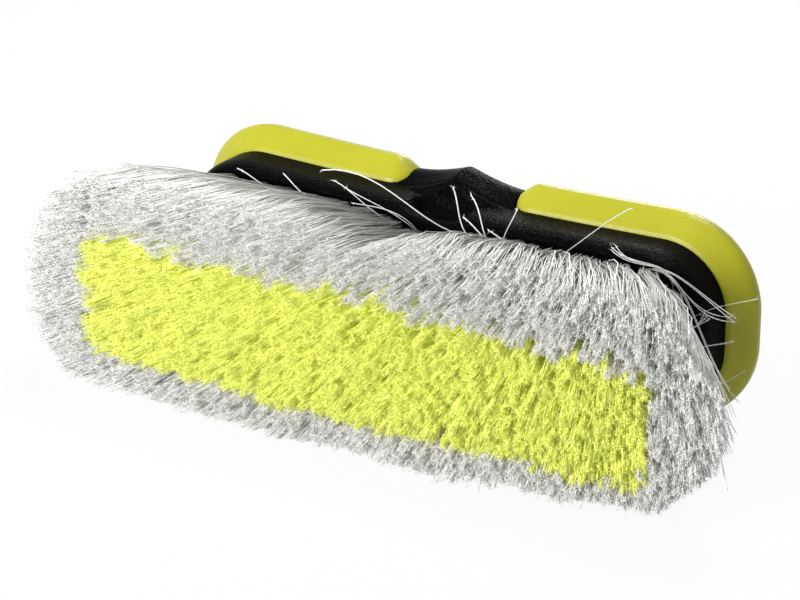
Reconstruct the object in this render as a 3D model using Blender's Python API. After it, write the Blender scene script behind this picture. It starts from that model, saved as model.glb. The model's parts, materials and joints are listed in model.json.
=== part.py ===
"""Water-fed wash brush for washing vehicles and windows at the end of a pole.

The brush lies on one of its long sides: X is its length, the bristles point to -Y, the neck points
back to +Y and down, and Z is its width. Metres throughout. The pieces are modelled about the middle
of the block, in the plane of the bumpers' widest outline, and the finished brush is then moved so
that the middle of its box stands over the origin with its lowest bristles on Z = 0.
"""
import math

import bmesh
import bpy
from mathutils import Matrix, Vector

# Clearances between neighbouring pieces
GAP = 0.0003
BEARING_GAP = 0.0004

# Outline of the block at the front edge of the bumpers: a rounded rectangle with a slight waist
BODY_HALF_LENGTH = 0.1303
BODY_HALF_WIDTH = 0.0367
BODY_CORNER = 0.0299
WAIST = 0.0024
CORNER_STEPS = 6

# Levels along Y, from the bristle face at the front to the crown at the back
FACE_Y = -0.0300
BULLNOSE = 0.0075
BULLNOSE_INSET = 0.0028
BACKING_THICK = 0.0035
PLATE_THICK = 0.0060
GASKET_THICK = 0.0015
CROWN_Y = 0.0120
CHAMBER_TOP_Y = 0.0078

# Walls, measured inwards from the block's outline
RIM_WALL = 0.0043
LEDGE = 0.0036
CHAMBER_SLOPE = 0.0060

# Bumpers: a lip that swells out to the back, with open ends at the middle of the long sides
BUMPER_FRONT_Y = -0.0098
BUMPER_BACK_Y = 0.0085
BUMPER_REACH = 0.0097
BUMPER_WIDEST_Y = 0.0002
BUMPER_SEAT = 0.0012
BUMPER_GAP_HALF = 0.0272
BUMPER_SHOULDER_HALF = 0.0360
BUMPER_END_SHARE = 0.46

# Hump at the middle of each long side, with the scoop under its brow
HUMP_RISE = 0.0057
HUMP_HALF = 0.0280
HUMP_SHARPNESS = 1.6
BROW_Y = -0.0066
SCOOP_TOP_Y = -0.0082
SCOOP_DEPTH = 0.0078
SCOOP_FACE_DEPTH = 0.0030
SCOOP_HALF_WIDTH = 0.0165
SCOOP_CLEARANCE = 0.0060

# Screws that clamp the flow plate to the housing, in posts inside the chamber
SCREW_X = 0.0580
SCREW_Z = 0.0165
END_SCREW_X = 0.1030
SCREW_SHANK_R = 0.0018
SCREW_HEAD_R = 0.0036
SCREW_HEAD_THICK = 0.0026
SCREW_LENGTH = 0.0150
SCREW_BITE = 0.0045
POST_R = 0.0058
WELL_R = 0.0043
CROSS_WIDTH = 0.0010
CROSS_LENGTH = 0.0040
CROSS_DEPTH = 0.0014

# Spray nozzles, which carry the water through the flow plate and the backing
NOZZLE_X = 0.0440
NOZZLE_R = 0.0034
NOZZLE_FLANGE_R = 0.0058
NOZZLE_BORE_R = 0.0014
NOZZLE_PROUD = 0.0030

# Neck, stem and coupling nut, measured along the neck's axis from the middle of the block
NECK_LEAN = math.radians(30.0)
NECK_ROOT_S = 0.0020
NECK_FAIRING_S = 0.0200
NECK_END_S = 0.0360
NECK_WALL = 0.0042
NECK_TAPER = 0.0020
NECK_SPREAD = 0.0070
STEM_R = 0.0100
STEM_WALL = 0.0040
STEM_IN_NECK = 0.0170
STEM_COLLAR_REACH = 0.0028
STEM_COLLAR_THICK = 0.0024
STEM_FLANGE_REACH = 0.0020
STEM_FLANGE_THICK = 0.0024
RING_GROOVE_DEPTH = 0.0022
RING_GROOVE_WIDTH = 0.0026
RING_FIRST = 0.0030
RING_SECOND = 0.0075
RING_SIDES = 6
PIN_R = 0.0013
PIN_FROM_COLLAR = 0.0042
PIN_GROOVE_DEPTH = 0.0024
NUT_LIP_THICK = 0.0030
NUT_SOCKET_CLEARANCE = 0.0009
NUT_WALL = 0.0036
NUT_END_S = 0.0590
NUT_CHAMFER = 0.0012
NUT_LOBES = 12
NUT_LOBE_DEPTH = 0.0009
WASHER_THICK = 0.0025
WASHER_WIDTH = 0.0035
STRAINER_THICK = 0.0012
STRAINER_HOLE_R = 0.0011
STRAINER_RING_R = 0.0040
STRAINER_HOLES = 6

# Bristles: strands rooted in staggered rows in slices of the backing
STRAND_COLUMNS = 17.9
STRAND_ROWS = 10
LIME_ROWS = 6
STRAND_EDGE = 0.0022
ROOT_SLACK = 0.0014
STRAND_SINK = 0.0005
STRAND_ROOT_R = 0.0012
STRAND_MIDDLE_R = 0.0021
STRAND_TIP_R = 0.0030
STRAND_SIDES = 3
TRIM_LENGTH = 0.0635
TRIM_CROWN = 0.0090
FAN_LENGTHWISE = 1.42
FAN_OUT_TOP = 0.0087
FAN_OUT_BOTTOM = 0.0143
SAG = 0.0190
LIME_COLUMNS = 14.25
MIDDLE_COLUMNS = 4.75
TUFT_SWAY = 0.0006

# Derived levels
PLATE_FRONT_Y = FACE_Y + BACKING_THICK + GAP
PLATE_BACK_Y = PLATE_FRONT_Y + PLATE_THICK
GASKET_FRONT_Y = PLATE_BACK_Y + GAP
GASKET_BACK_Y = GASKET_FRONT_Y + GASKET_THICK
LEDGE_Y = GASKET_BACK_Y + GAP
WALL_INNER = RIM_WALL + LEDGE

# Derived spacing of the strands, whose outer roots stand just inside the backing's edge
ROOT_HALF_LENGTH = BODY_HALF_LENGTH - RIM_WALL - GAP - STRAND_EDGE
ROOT_HALF_WIDTH = BODY_HALF_WIDTH - RIM_WALL - GAP - STRAND_EDGE - WAIST - ROOT_SLACK
STRAND_PITCH_X = ROOT_HALF_LENGTH / STRAND_COLUMNS
STRAND_ROW_PITCH = ROOT_HALF_WIDTH / ((STRAND_ROWS - 1) / 2)
LIME_HALF_WIDTH = STRAND_ROW_PITCH * LIME_ROWS / 2
LIME_HALF_LENGTH = STRAND_PITCH_X * LIME_COLUMNS
MIDDLE_HALF_LENGTH = STRAND_PITCH_X * MIDDLE_COLUMNS

# Derived places along the neck
COLLAR_START_S = NECK_END_S + GAP
COLLAR_END_S = COLLAR_START_S + STEM_COLLAR_THICK
NUT_START_S = COLLAR_END_S + BEARING_GAP
NUT_LIP_END_S = NUT_START_S + NUT_LIP_THICK
FLANGE_START_S = NUT_LIP_END_S + BEARING_GAP
FLANGE_END_S = FLANGE_START_S + STEM_FLANGE_THICK
WASHER_START_S = FLANGE_END_S + GAP
WASHER_END_S = WASHER_START_S + WASHER_THICK
STEM_START_S = NECK_END_S - STEM_IN_NECK
PIN_S = NECK_END_S - PIN_FROM_COLLAR

# Derived radii round the neck's axis, all of which follow the stem's radius
STEM_BORE_R = STEM_R - STEM_WALL
STEM_COLLAR_R = STEM_R + STEM_COLLAR_REACH
STEM_FLANGE_R = STEM_R + STEM_FLANGE_REACH
RING_GROOVE_R = STEM_R - RING_GROOVE_DEPTH
PIN_GROOVE_R = STEM_R - PIN_GROOVE_DEPTH
WASHER_BORE_R = STEM_FLANGE_R - WASHER_WIDTH
NUT_SOCKET_R = STEM_FLANGE_R + NUT_SOCKET_CLEARANCE
NUT_OUTER_R = NUT_SOCKET_R + NUT_WALL
NECK_BORE_R = STEM_R + GAP
NECK_END_R = NECK_BORE_R + NECK_WALL
NECK_FAIRING_R = NECK_END_R + NECK_TAPER
NECK_ROOT_R = NECK_FAIRING_R + NECK_SPREAD

AXIS_TO_BACK = Matrix.Rotation(math.radians(-90), 4, "X")
NECK_FRAME = Matrix.Rotation(math.radians(-90) - NECK_LEAN, 4, "X")


def clear_scene():
    for item in list(bpy.data.objects):
        bpy.data.objects.remove(item, do_unlink=True)


def new_collection(name):
    collection = bpy.data.collections.new(name)
    bpy.context.scene.collection.children.link(collection)
    return collection


def material(name, colour, roughness, metallic=0.0):
    """A plain Principled finish."""
    result = bpy.data.materials.new(name)
    result.use_nodes = True
    shader = result.node_tree.nodes["Principled BSDF"]
    shader.inputs["Base Color"].default_value = (*colour, 1.0)
    shader.inputs["Roughness"].default_value = roughness
    shader.inputs["Metallic"].default_value = metallic
    return result


def lookup(table, value):
    """Straight-line reading of a short table of (place, size) pairs."""
    if value <= table[0][0]:
        return table[0][1]
    for (place_a, size_a), (place_b, size_b) in zip(table, table[1:]):
        if value <= place_b:
            return size_a + (size_b - size_a) * (value - place_a) / (place_b - place_a)
    return table[-1][1]


def bell(distance, half_width):
    """1 in the middle, falling smoothly to 0 at half_width."""
    share = min(abs(distance) / half_width, 1.0)
    return (1 - share * share) ** 1.5


class Brush:
    """The collections, the finishes and the empty that carries every piece."""

    def __init__(self):
        self.parts = new_collection("water_fed_brush")
        self.cutters = new_collection("cutters")
        self.root = bpy.data.objects.new("block_middle", None)
        self.parts.objects.link(self.root)
        self.black = material("black_textured_plastic", (0.022, 0.022, 0.024), 0.55)
        self.lime = material("lime_soft_rubber", (0.60, 0.64, 0.03), 0.38)
        self.grey_fibre = material("grey_bristle", (0.56, 0.56, 0.55), 0.60)
        self.lime_fibre = material("lime_bristle", (0.66, 0.80, 0.05), 0.60)
        self.plate = material("grey_plastic", (0.18, 0.18, 0.19), 0.50)
        self.rubber = material("black_rubber", (0.015, 0.015, 0.015), 0.75)
        self.steel = material("stainless_steel", (0.60, 0.60, 0.61), 0.30, 1.0)
        self.brass = material("brass", (0.70, 0.52, 0.22), 0.35, 1.0)

    def add(self, name, mesh, finish, frame=None, smooth_angle=35.0):
        """Puts a mesh in the scene as one named piece of the brush."""
        piece = bpy.data.objects.new(name, mesh)
        self.parts.objects.link(piece)
        piece.parent = self.root
        if frame is not None:
            piece.matrix_local = frame
        mesh.materials.append(finish)
        mesh.shade_smooth()
        mesh.set_sharp_from_angle(angle=math.radians(smooth_angle))
        return piece

    def tool(self, name, mesh, frame=None):
        """A hidden shape that is added to a piece or cut from it."""
        shape = bpy.data.objects.new(name, mesh)
        self.cutters.objects.link(shape)
        shape.parent = self.root
        if frame is not None:
            shape.matrix_local = frame
        shape.hide_render = True
        shape.display_type = "WIRE"
        return shape


def combine(piece, shape, operation):
    step = piece.modifiers.new(shape.name, "BOOLEAN")
    step.operation = operation
    step.solver = "EXACT"
    step.object = shape


def finished(mesh_name, bm):
    """Turns the faces outwards and makes the mesh."""
    bmesh.ops.recalc_face_normals(bm, faces=bm.faces)
    mesh = bpy.data.meshes.new(mesh_name)
    bm.to_mesh(mesh)
    bm.free()
    return mesh


def turned(name, profile, steps=32):
    """Spins a closed profile of (radius, height) points round Z."""
    bm = bmesh.new()
    verts = [bm.verts.new((radius, 0, height)) for radius, height in profile]
    edges = [bm.edges.new(pair) for pair in zip(verts, verts[1:] + verts[:1])]
    on_axis = [edge for edge in edges if all(vert.co.x < 1e-7 for vert in edge.verts)]
    edges = [edge for edge in edges if edge not in on_axis]
    bmesh.ops.delete(bm, geom=on_axis, context="EDGES_FACES")
    bmesh.ops.spin(bm, geom=verts + edges, cent=(0, 0, 0), axis=(0, 0, 1),
                   angle=math.tau, steps=steps, use_merge=True)
    bmesh.ops.remove_doubles(bm, verts=bm.verts, dist=1e-6)
    return finished(name, bm)


def rod(name, radius, start, end, steps=24):
    """A cylinder round Z from start to end."""
    bm = bmesh.new()
    middle = Matrix.Translation((0, 0, (start + end) / 2))
    bmesh.ops.create_cone(bm, cap_ends=True, segments=steps, radius1=radius, radius2=radius,
                          depth=end - start, matrix=middle)
    return finished(name, bm)


def block(name, low, high):
    """A box from its low corner to its high corner."""
    bm = bmesh.new()
    size = Vector(high) - Vector(low)
    centre = (Vector(high) + Vector(low)) / 2
    bmesh.ops.create_cube(bm, size=1.0, matrix=Matrix.Translation(centre) @ Matrix.Diagonal((*size, 1)))
    return finished(name, bm)


def side_stations():
    """Places along half of a long side, close together at the hump and at the bumpers' ends."""
    hump = [BUMPER_GAP_HALF * share for share in (0.0, 0.11, 0.24, 0.40, 0.58, 0.78)]
    ends = [BUMPER_GAP_HALF - GAP / 2, BUMPER_GAP_HALF + GAP / 2, BUMPER_GAP_HALF + GAP * 1.5]
    shoulder = [(BUMPER_GAP_HALF + BUMPER_SHOULDER_HALF) / 2, BUMPER_SHOULDER_HALF]
    straight_end = BODY_HALF_LENGTH - BODY_CORNER
    rest = [BUMPER_SHOULDER_HALF + (straight_end - BUMPER_SHOULDER_HALF) * share for share in (0.33, 0.66, 1.0)]
    return hump + ends + shoulder + rest


def outline_points():
    """The block's outline as (x, z, normal x, normal z), once round from the top's left end."""
    half = side_stations()
    stations = [-x for x in reversed(half[1:])] + half
    points = [(x, BODY_HALF_WIDTH, 0.0, 1.0) for x in stations]
    centre_x = BODY_HALF_LENGTH - BODY_CORNER
    centre_z = BODY_HALF_WIDTH - BODY_CORNER
    quarter = [math.pi / 2 * step / CORNER_STEPS for step in range(CORNER_STEPS + 1)]
    right = []
    for angle in quarter[1:]:
        right.append((centre_x, centre_z, math.sin(angle), math.cos(angle)))
    for angle in quarter[:-1]:
        right.append((centre_x, -centre_z, math.cos(angle), -math.sin(angle)))
    points += [(cx + BODY_CORNER * nx, cz + BODY_CORNER * nz, nx, nz) for cx, cz, nx, nz in right]
    points += [(x, -BODY_HALF_WIDTH, 0.0, -1.0) for x in reversed(stations)]
    points += [(-x, z, -nx, nz) for x, z, nx, nz in reversed(points[len(stations):-len(stations)])]
    return points


OUTLINE = outline_points()


def placed(point, out, y):
    """A point of the outline moved out along its normal, drawn in by the waist, at level y."""
    x, z, normal_x, normal_z = point
    waist = WAIST * math.cos(math.pi / 2 * min(abs(x) / BODY_HALF_LENGTH, 1.0))
    return Vector((x + out * normal_x, y, (z + out * normal_z) * (1 - waist / BODY_HALF_WIDTH)))


def ring(offset, y):
    """The whole outline at level y, moved out by offset(x)."""
    return [placed(point, offset(point[0]), y) for point in OUTLINE]


def lofted(name, rings, wraps=False):
    """Joins rings of equal count with quads; the ends are capped unless the last meets the first."""
    bm = bmesh.new()
    rows = [[bm.verts.new(point) for point in points] for points in rings]
    pairs = list(zip(rows, rows[1:]))
    if wraps:
        pairs.append((rows[-1], rows[0]))
    for lower, upper in pairs:
        count = len(lower)
        for index in range(count):
            following = (index + 1) % count
            bm.faces.new((lower[index], lower[following], upper[following], upper[index]))
    if not wraps:
        bm.faces.new(rows[0])
        bm.faces.new(rows[-1])
    return finished(name, bm)


def bumper_profile():
    """The bumper's outer face as (y, reach) pairs from its front edge to its back edge."""
    front = BUMPER_WIDEST_Y - BUMPER_FRONT_Y
    back = BUMPER_BACK_Y - BUMPER_WIDEST_Y
    return [
        (BUMPER_FRONT_Y, 0.07 * BUMPER_REACH),
        (BUMPER_FRONT_Y + 0.37 * front, 0.47 * BUMPER_REACH),
        (BUMPER_FRONT_Y + 0.71 * front, 0.85 * BUMPER_REACH),
        (BUMPER_FRONT_Y + 0.87 * front, 0.97 * BUMPER_REACH),
        (BUMPER_WIDEST_Y, BUMPER_REACH),
        (BUMPER_WIDEST_Y + 0.28 * back, 0.98 * BUMPER_REACH),
        (BUMPER_WIDEST_Y + 0.54 * back, 0.88 * BUMPER_REACH),
        (BUMPER_WIDEST_Y + 0.75 * back, 0.68 * BUMPER_REACH),
        (BUMPER_WIDEST_Y + 0.90 * back, 0.40 * BUMPER_REACH),
        (BUMPER_BACK_Y, 0.10 * BUMPER_REACH),
    ]


def bumper_share(x):
    """How much of its full reach the bumper has at x, along the sloping end facets."""
    table = [(BUMPER_GAP_HALF, BUMPER_END_SHARE), (BUMPER_SHOULDER_HALF, 1.0)]
    return lookup(table, abs(x))


def wall_levels():
    """The housing's outer wall as (y, offset) pairs, from the bristle face to the crown."""
    return [
        (FACE_Y, -BULLNOSE_INSET),
        (FACE_Y + 0.13 * BULLNOSE, -0.50 * BULLNOSE_INSET),
        (FACE_Y + 0.45 * BULLNOSE, -0.16 * BULLNOSE_INSET),
        (FACE_Y + BULLNOSE, 0.0),
        (BUMPER_FRONT_Y + 0.0145, 0.0),
        (BUMPER_BACK_Y - 0.0012, -0.0022),
        (CROWN_Y - 0.0026, -0.0090),
        (CROWN_Y - 0.0010, -0.0175),
        (CROWN_Y, -0.0270),
    ]


def hump_height(y):
    """Rise of the hump's ridge over the infill at level y."""
    table = [
        (SCOOP_TOP_Y, 0.0),
        (BROW_Y, 0.93 * HUMP_RISE),
        (0.0040, HUMP_RISE),
        (BUMPER_BACK_Y, 0.72 * HUMP_RISE),
        (CROWN_Y, 0.0),
    ]
    return lookup(table, y)


def scoop_depth(y):
    table = [
        (FACE_Y, SCOOP_FACE_DEPTH),
        (FACE_Y + 0.0090, 0.80 * SCOOP_DEPTH),
        (SCOOP_TOP_Y - 0.0060, SCOOP_DEPTH),
        (SCOOP_TOP_Y - 0.0020, 0.62 * SCOOP_DEPTH),
        (SCOOP_TOP_Y, 0.20 * SCOOP_DEPTH),
        (BROW_Y, 0.0),
    ]
    return lookup(table, y)


def scoop_half_width(y):
    table = [
        (FACE_Y, SCOOP_HALF_WIDTH),
        (SCOOP_TOP_Y - 0.0060, 0.93 * SCOOP_HALF_WIDTH),
        (SCOOP_TOP_Y - 0.0020, 0.72 * SCOOP_HALF_WIDTH),
        (SCOOP_TOP_Y, 0.48 * SCOOP_HALF_WIDTH),
    ]
    return lookup(table, y)


def housing_offset(x, y):
    """How far the housing's outer wall stands out from the block's outline."""
    wall = lookup(wall_levels(), y)
    along = abs(x)
    in_bumper = y > BUMPER_FRONT_Y + GAP / 2
    if along > BUMPER_GAP_HALF:
        return wall - (BUMPER_SEAT if in_bumper and y < CROWN_Y - 0.0008 else 0.0)
    infill = BUMPER_END_SHARE * lookup(bumper_profile(), y) if in_bumper else 0.0
    if y > BUMPER_BACK_Y:
        infill = 0.0
    ridge = max(1 - along / HUMP_HALF, 0.0) ** HUMP_SHARPNESS
    out = wall + infill + hump_height(y) * ridge
    return out - scoop_depth(y) * bell(along, scoop_half_width(y))


def housing_levels():
    """The heights at which the housing's outer wall is drawn."""
    levels = [y for y, _ in wall_levels()]
    levels += [y for y, _ in bumper_profile()[2:-1:3]]
    levels += [FACE_Y + 0.0150, BUMPER_FRONT_Y, BUMPER_FRONT_Y + GAP]
    levels += [SCOOP_TOP_Y, BROW_Y]
    levels = sorted(levels)
    kept = [levels[0]]
    for level in levels[1:]:
        if level - kept[-1] > 0.75 * GAP:
            kept.append(level)
    return kept


def inner_offset(inset):
    """An inner outline that keeps clear of the scoops in the long sides."""
    return lambda x: -inset - SCOOP_CLEARANCE * bell(x, BUMPER_GAP_HALF)


def make_housing(brush):
    """The black shell with its humps and scoops, its chamber, screw posts and leaning neck."""
    rings = [ring(lambda x, y=y: housing_offset(x, y), y) for y in housing_levels()]
    chamber_levels = [
        (CHAMBER_TOP_Y, WALL_INNER + CHAMBER_SLOPE),
        (CHAMBER_TOP_Y - CHAMBER_SLOPE, WALL_INNER + 0.25 * CHAMBER_SLOPE),
        (LEDGE_Y, WALL_INNER),
        (LEDGE_Y, RIM_WALL),
        (FACE_Y, RIM_WALL),
    ]
    bm = bmesh.new()
    outer = [[bm.verts.new(point) for point in points] for points in rings]
    inner = [[bm.verts.new(point) for point in ring(inner_offset(inset), y)] for y, inset in chamber_levels]
    rows = outer + inner
    for lower, upper in list(zip(outer, outer[1:])) + list(zip(inner, inner[1:])) + [(inner[-1], outer[0])]:
        count = len(lower)
        for index in range(count):
            following = (index + 1) % count
            bm.faces.new((lower[index], lower[following], upper[following], upper[index]))
    bm.faces.new(outer[-1])
    bm.faces.new(inner[0])
    housing = brush.add("housing", finished("housing", bm), brush.black)
    add_posts(brush, housing)
    add_neck(brush, housing)
    return housing


def screw_places():
    corners = [(x, z) for x in (-SCREW_X, SCREW_X) for z in (-SCREW_Z, SCREW_Z)]
    return [(-END_SCREW_X, 0.0)] + corners + [(END_SCREW_X, 0.0)]


def screw_head_y():
    """Level of the underside of the screw heads."""
    return PLATE_BACK_Y - SCREW_BITE + SCREW_LENGTH


def add_posts(brush, housing):
    """Posts from the crown down to the flow plate, each with a well for its screw."""
    post_top = CHAMBER_TOP_Y + 0.0015
    for index, (x, z) in enumerate(screw_places(), 1):
        place = Matrix.Translation((x, 0, z)) @ AXIS_TO_BACK
        post = brush.tool(f"post_{index}", rod("post", POST_R, GASKET_FRONT_Y, post_top, 14), place)
        combine(housing, post, "UNION")
    for index, (x, z) in enumerate(screw_places(), 1):
        place = Matrix.Translation((x, 0, z)) @ AXIS_TO_BACK
        seat = screw_head_y() - GAP
        shank = SCREW_SHANK_R + GAP
        profile = [(0, CROWN_Y + 0.01), (WELL_R, CROWN_Y + 0.01), (WELL_R, seat), (shank, seat),
                   (shank, PLATE_FRONT_Y), (0, PLATE_FRONT_Y)]
        well = brush.tool(f"well_{index}", turned("well", profile, 14), place)
        combine(housing, well, "DIFFERENCE")


def add_neck(brush, housing):
    """The neck, its bore into the chamber and the cross hole for the stem's pin."""
    middle_s = (NECK_ROOT_S + NECK_FAIRING_S) / 2
    middle_r = NECK_FAIRING_R + 0.36 * (NECK_ROOT_R - NECK_FAIRING_R)
    profile = [(0, NECK_ROOT_S), (NECK_ROOT_R, NECK_ROOT_S), (middle_r, middle_s),
               (NECK_FAIRING_R, NECK_FAIRING_S), (NECK_END_R, NECK_END_S - 0.0012),
               (NECK_END_R - 0.0012, NECK_END_S), (0, NECK_END_S)]
    neck = brush.tool("neck", turned("neck", profile, 28), NECK_FRAME)
    combine(housing, neck, "UNION")
    bore = brush.tool("neck_bore", rod("neck_bore", NECK_BORE_R, -NECK_ROOT_S, NECK_END_S + 0.01, 28), NECK_FRAME)
    combine(housing, bore, "DIFFERENCE")
    hole = brush.tool("pin_hole", rod("pin_hole", PIN_R + GAP, -NECK_ROOT_R, NECK_ROOT_R, 12), pin_frame())
    combine(housing, hole, "DIFFERENCE")


def pin_frame():
    """The pin lies across the neck, beside its bore."""
    beside = PIN_GROOVE_R + GAP + PIN_R
    return NECK_FRAME @ Matrix.Translation((0, -beside, PIN_S)) @ Matrix.Rotation(math.pi / 2, 4, "Y")


def make_bumper(brush, name, side):
    """One soft end bumper: its section is carried along the outline round one end."""
    stations = [point for point in OUTLINE if point[0] * side > BUMPER_GAP_HALF + GAP]
    if side < 0:
        turn = next(i for i, point in enumerate(stations) if point[1] < 0)
        stations = stations[turn:] + stations[:turn]
    inner = -(BUMPER_SEAT - GAP)
    rings = []
    for point in stations:
        share = bumper_share(point[0])
        section = [(BUMPER_FRONT_Y + 2 * GAP, inner)]
        section += [(y, inner + (out - inner) * share) for y, out in bumper_profile()]
        section.append((BUMPER_BACK_Y, inner))
        rings.append([placed(point, out, y) for y, out in section])
    return brush.add(name, lofted(name, rings), brush.lime, smooth_angle=28.0)


def plate_mesh(name, inset, front, back):
    """A flat plate that fills the outline drawn in by inset."""
    return lofted(name, [ring(inner_offset(inset), front), ring(inner_offset(inset), back)])


def make_flow_plate(brush):
    plate = brush.add("flow_plate", plate_mesh("flow_plate", RIM_WALL + GAP, PLATE_FRONT_Y, PLATE_BACK_Y),
                      brush.plate)
    for index, (x, z) in enumerate(screw_places(), 1):
        place = Matrix.Translation((x, 0, z)) @ AXIS_TO_BACK
        depth = PLATE_BACK_Y - SCREW_BITE - GAP
        hole = brush.tool(f"pilot_{index}", rod("pilot", SCREW_SHANK_R + GAP, depth, PLATE_BACK_Y + 0.01, 12), place)
        combine(plate, hole, "DIFFERENCE")
    for x in (-NOZZLE_X, NOZZLE_X):
        place = Matrix.Translation((x, 0, 0)) @ AXIS_TO_BACK
        hole = brush.tool("nozzle_hole", rod("nozzle_hole", NOZZLE_R + GAP, FACE_Y, PLATE_BACK_Y + 0.01, 16), place)
        combine(plate, hole, "DIFFERENCE")
    return plate


def make_gasket(brush):
    """A flat ring between the flow plate's edge and the housing's ledge."""
    outer_inset = RIM_WALL + GAP
    inner_inset = WALL_INNER
    rings = [
        ring(inner_offset(outer_inset), GASKET_FRONT_Y),
        ring(inner_offset(outer_inset), GASKET_BACK_Y),
        ring(inner_offset(inner_inset), GASKET_BACK_Y),
        ring(inner_offset(inner_inset), GASKET_FRONT_Y),
    ]
    return brush.add("chamber_gasket", lofted("chamber_gasket", rings, wraps=True), brush.rubber)


def make_screws(brush):
    """Pan-head screws with a cross recess, seated at the bottom of their wells."""
    seat = screw_head_y()
    tip = seat - SCREW_LENGTH
    top = seat + SCREW_HEAD_THICK
    profile = [(0, top), (0.62 * SCREW_HEAD_R, top), (0.92 * SCREW_HEAD_R, seat + 0.62 * SCREW_HEAD_THICK),
               (SCREW_HEAD_R, seat), (SCREW_SHANK_R, seat), (SCREW_SHANK_R, tip + SCREW_SHANK_R),
               (0.35 * SCREW_SHANK_R, tip), (0, tip)]
    half, width, floor = CROSS_LENGTH / 2, CROSS_WIDTH / 2, top - CROSS_DEPTH
    for index, (x, z) in enumerate(screw_places(), 1):
        place = Matrix.Translation((x, 0, z)) @ AXIS_TO_BACK
        screw = brush.add(f"plate_screw_{index}", turned("plate_screw", profile, 14), brush.steel, place)
        for turn, (reach_x, reach_y) in enumerate(((half, width), (width, half))):
            slot = block("slot", (-reach_x, -reach_y, floor), (reach_x, reach_y, top + 0.001))
            combine(screw, brush.tool(f"slot_{index}_{turn}", slot, place), "DIFFERENCE")


def make_nozzles(brush):
    """Flanged tubes that lead the water out among the lime bristles."""
    top = GASKET_FRONT_Y + GASKET_THICK
    tip = FACE_Y - NOZZLE_PROUD
    profile = [(NOZZLE_BORE_R, top), (NOZZLE_FLANGE_R, top), (NOZZLE_FLANGE_R, GASKET_FRONT_Y),
               (NOZZLE_R, GASKET_FRONT_Y), (NOZZLE_R, tip + 0.0008), (NOZZLE_R - 0.0008, tip), (NOZZLE_BORE_R, tip)]
    for name, x in (("spray_nozzle_left", -NOZZLE_X), ("spray_nozzle_right", NOZZLE_X)):
        place = Matrix.Translation((x, 0, 0)) @ AXIS_TO_BACK
        brush.add(name, turned(name, profile, 16), brush.brass, place)


def ring_centres():
    return [STEM_START_S + RING_FIRST, STEM_START_S + RING_SECOND]


def groove(centre, width, floor_r):
    """A square groove in the stem's outer face, as points going up its side."""
    low, high = centre - width / 2, centre + width / 2
    return [(STEM_R, low), (floor_r, low), (floor_r, high), (STEM_R, high)]


def make_stem(brush):
    """The brass tailpiece in the neck, with its collar, grooves and end flange."""
    profile = [(STEM_BORE_R, STEM_START_S), (STEM_R - 0.0005, STEM_START_S), (STEM_R, STEM_START_S + 0.0005)]
    for centre in ring_centres():
        profile += groove(centre, RING_GROOVE_WIDTH, RING_GROOVE_R)
    profile += groove(PIN_S, 2 * (PIN_R + GAP), PIN_GROOVE_R)
    profile += [(STEM_R, COLLAR_START_S), (STEM_COLLAR_R, COLLAR_START_S), (STEM_COLLAR_R, COLLAR_END_S),
                (STEM_R, COLLAR_END_S), (STEM_R, FLANGE_START_S), (STEM_FLANGE_R, FLANGE_START_S),
                (STEM_FLANGE_R, FLANGE_END_S), (STEM_BORE_R, FLANGE_END_S)]
    brush.add("inlet_stem", turned("inlet_stem", profile, 20), brush.brass, NECK_FRAME)


def make_o_rings(brush):
    section = (NECK_BORE_R - RING_GROOVE_R) / 2 - GAP
    radius = (NECK_BORE_R + RING_GROOVE_R) / 2
    for number, centre in enumerate(ring_centres(), 1):
        profile = []
        for step in range(RING_SIDES):
            angle = math.tau * step / RING_SIDES
            profile.append((radius + section * math.cos(angle), centre + section * math.sin(angle)))
        name = f"stem_o_ring_{number}"
        brush.add(name, turned(name, profile, 20), brush.rubber, NECK_FRAME)


def make_pin(brush):
    """The cross pin that keeps the stem in the neck."""
    beside = PIN_GROOVE_R + GAP + PIN_R
    half = math.sqrt(NECK_END_R ** 2 - beside ** 2) - 0.0004
    brush.add("stem_pin", rod("stem_pin", PIN_R, -half, half, 12), brush.steel, pin_frame())


def make_nut(brush):
    """The coupling nut, which turns freely between the stem's collar and flange."""
    lip_bore = STEM_R + BEARING_GAP
    profile = [(lip_bore, NUT_START_S), (NUT_OUTER_R - NUT_CHAMFER, NUT_START_S),
               (NUT_OUTER_R, NUT_START_S + NUT_CHAMFER), (NUT_OUTER_R, NUT_END_S - NUT_CHAMFER),
               (NUT_OUTER_R - NUT_CHAMFER, NUT_END_S), (NUT_SOCKET_R, NUT_END_S),
               (NUT_SOCKET_R, NUT_LIP_END_S), (lip_bore, NUT_LIP_END_S)]
    mesh = turned("coupling_nut", profile, 4 * NUT_LOBES)
    for vert in mesh.vertices:
        radius = math.hypot(vert.co.x, vert.co.y)
        if radius > NUT_OUTER_R - 0.5 * NUT_CHAMFER:
            wave = 0.5 - 0.5 * math.cos(NUT_LOBES * math.atan2(vert.co.y, vert.co.x))
            share = 1 - NUT_LOBE_DEPTH * wave / radius
            vert.co.x *= share
            vert.co.y *= share
    brush.add("coupling_nut", mesh, brush.black, NECK_FRAME)


def make_washer(brush):
    outer = STEM_FLANGE_R
    profile = [(WASHER_BORE_R, WASHER_START_S), (outer, WASHER_START_S), (outer, WASHER_END_S),
               (WASHER_BORE_R, WASHER_END_S)]
    brush.add("hose_washer", turned("hose_washer", profile, 28), brush.rubber, NECK_FRAME)


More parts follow.
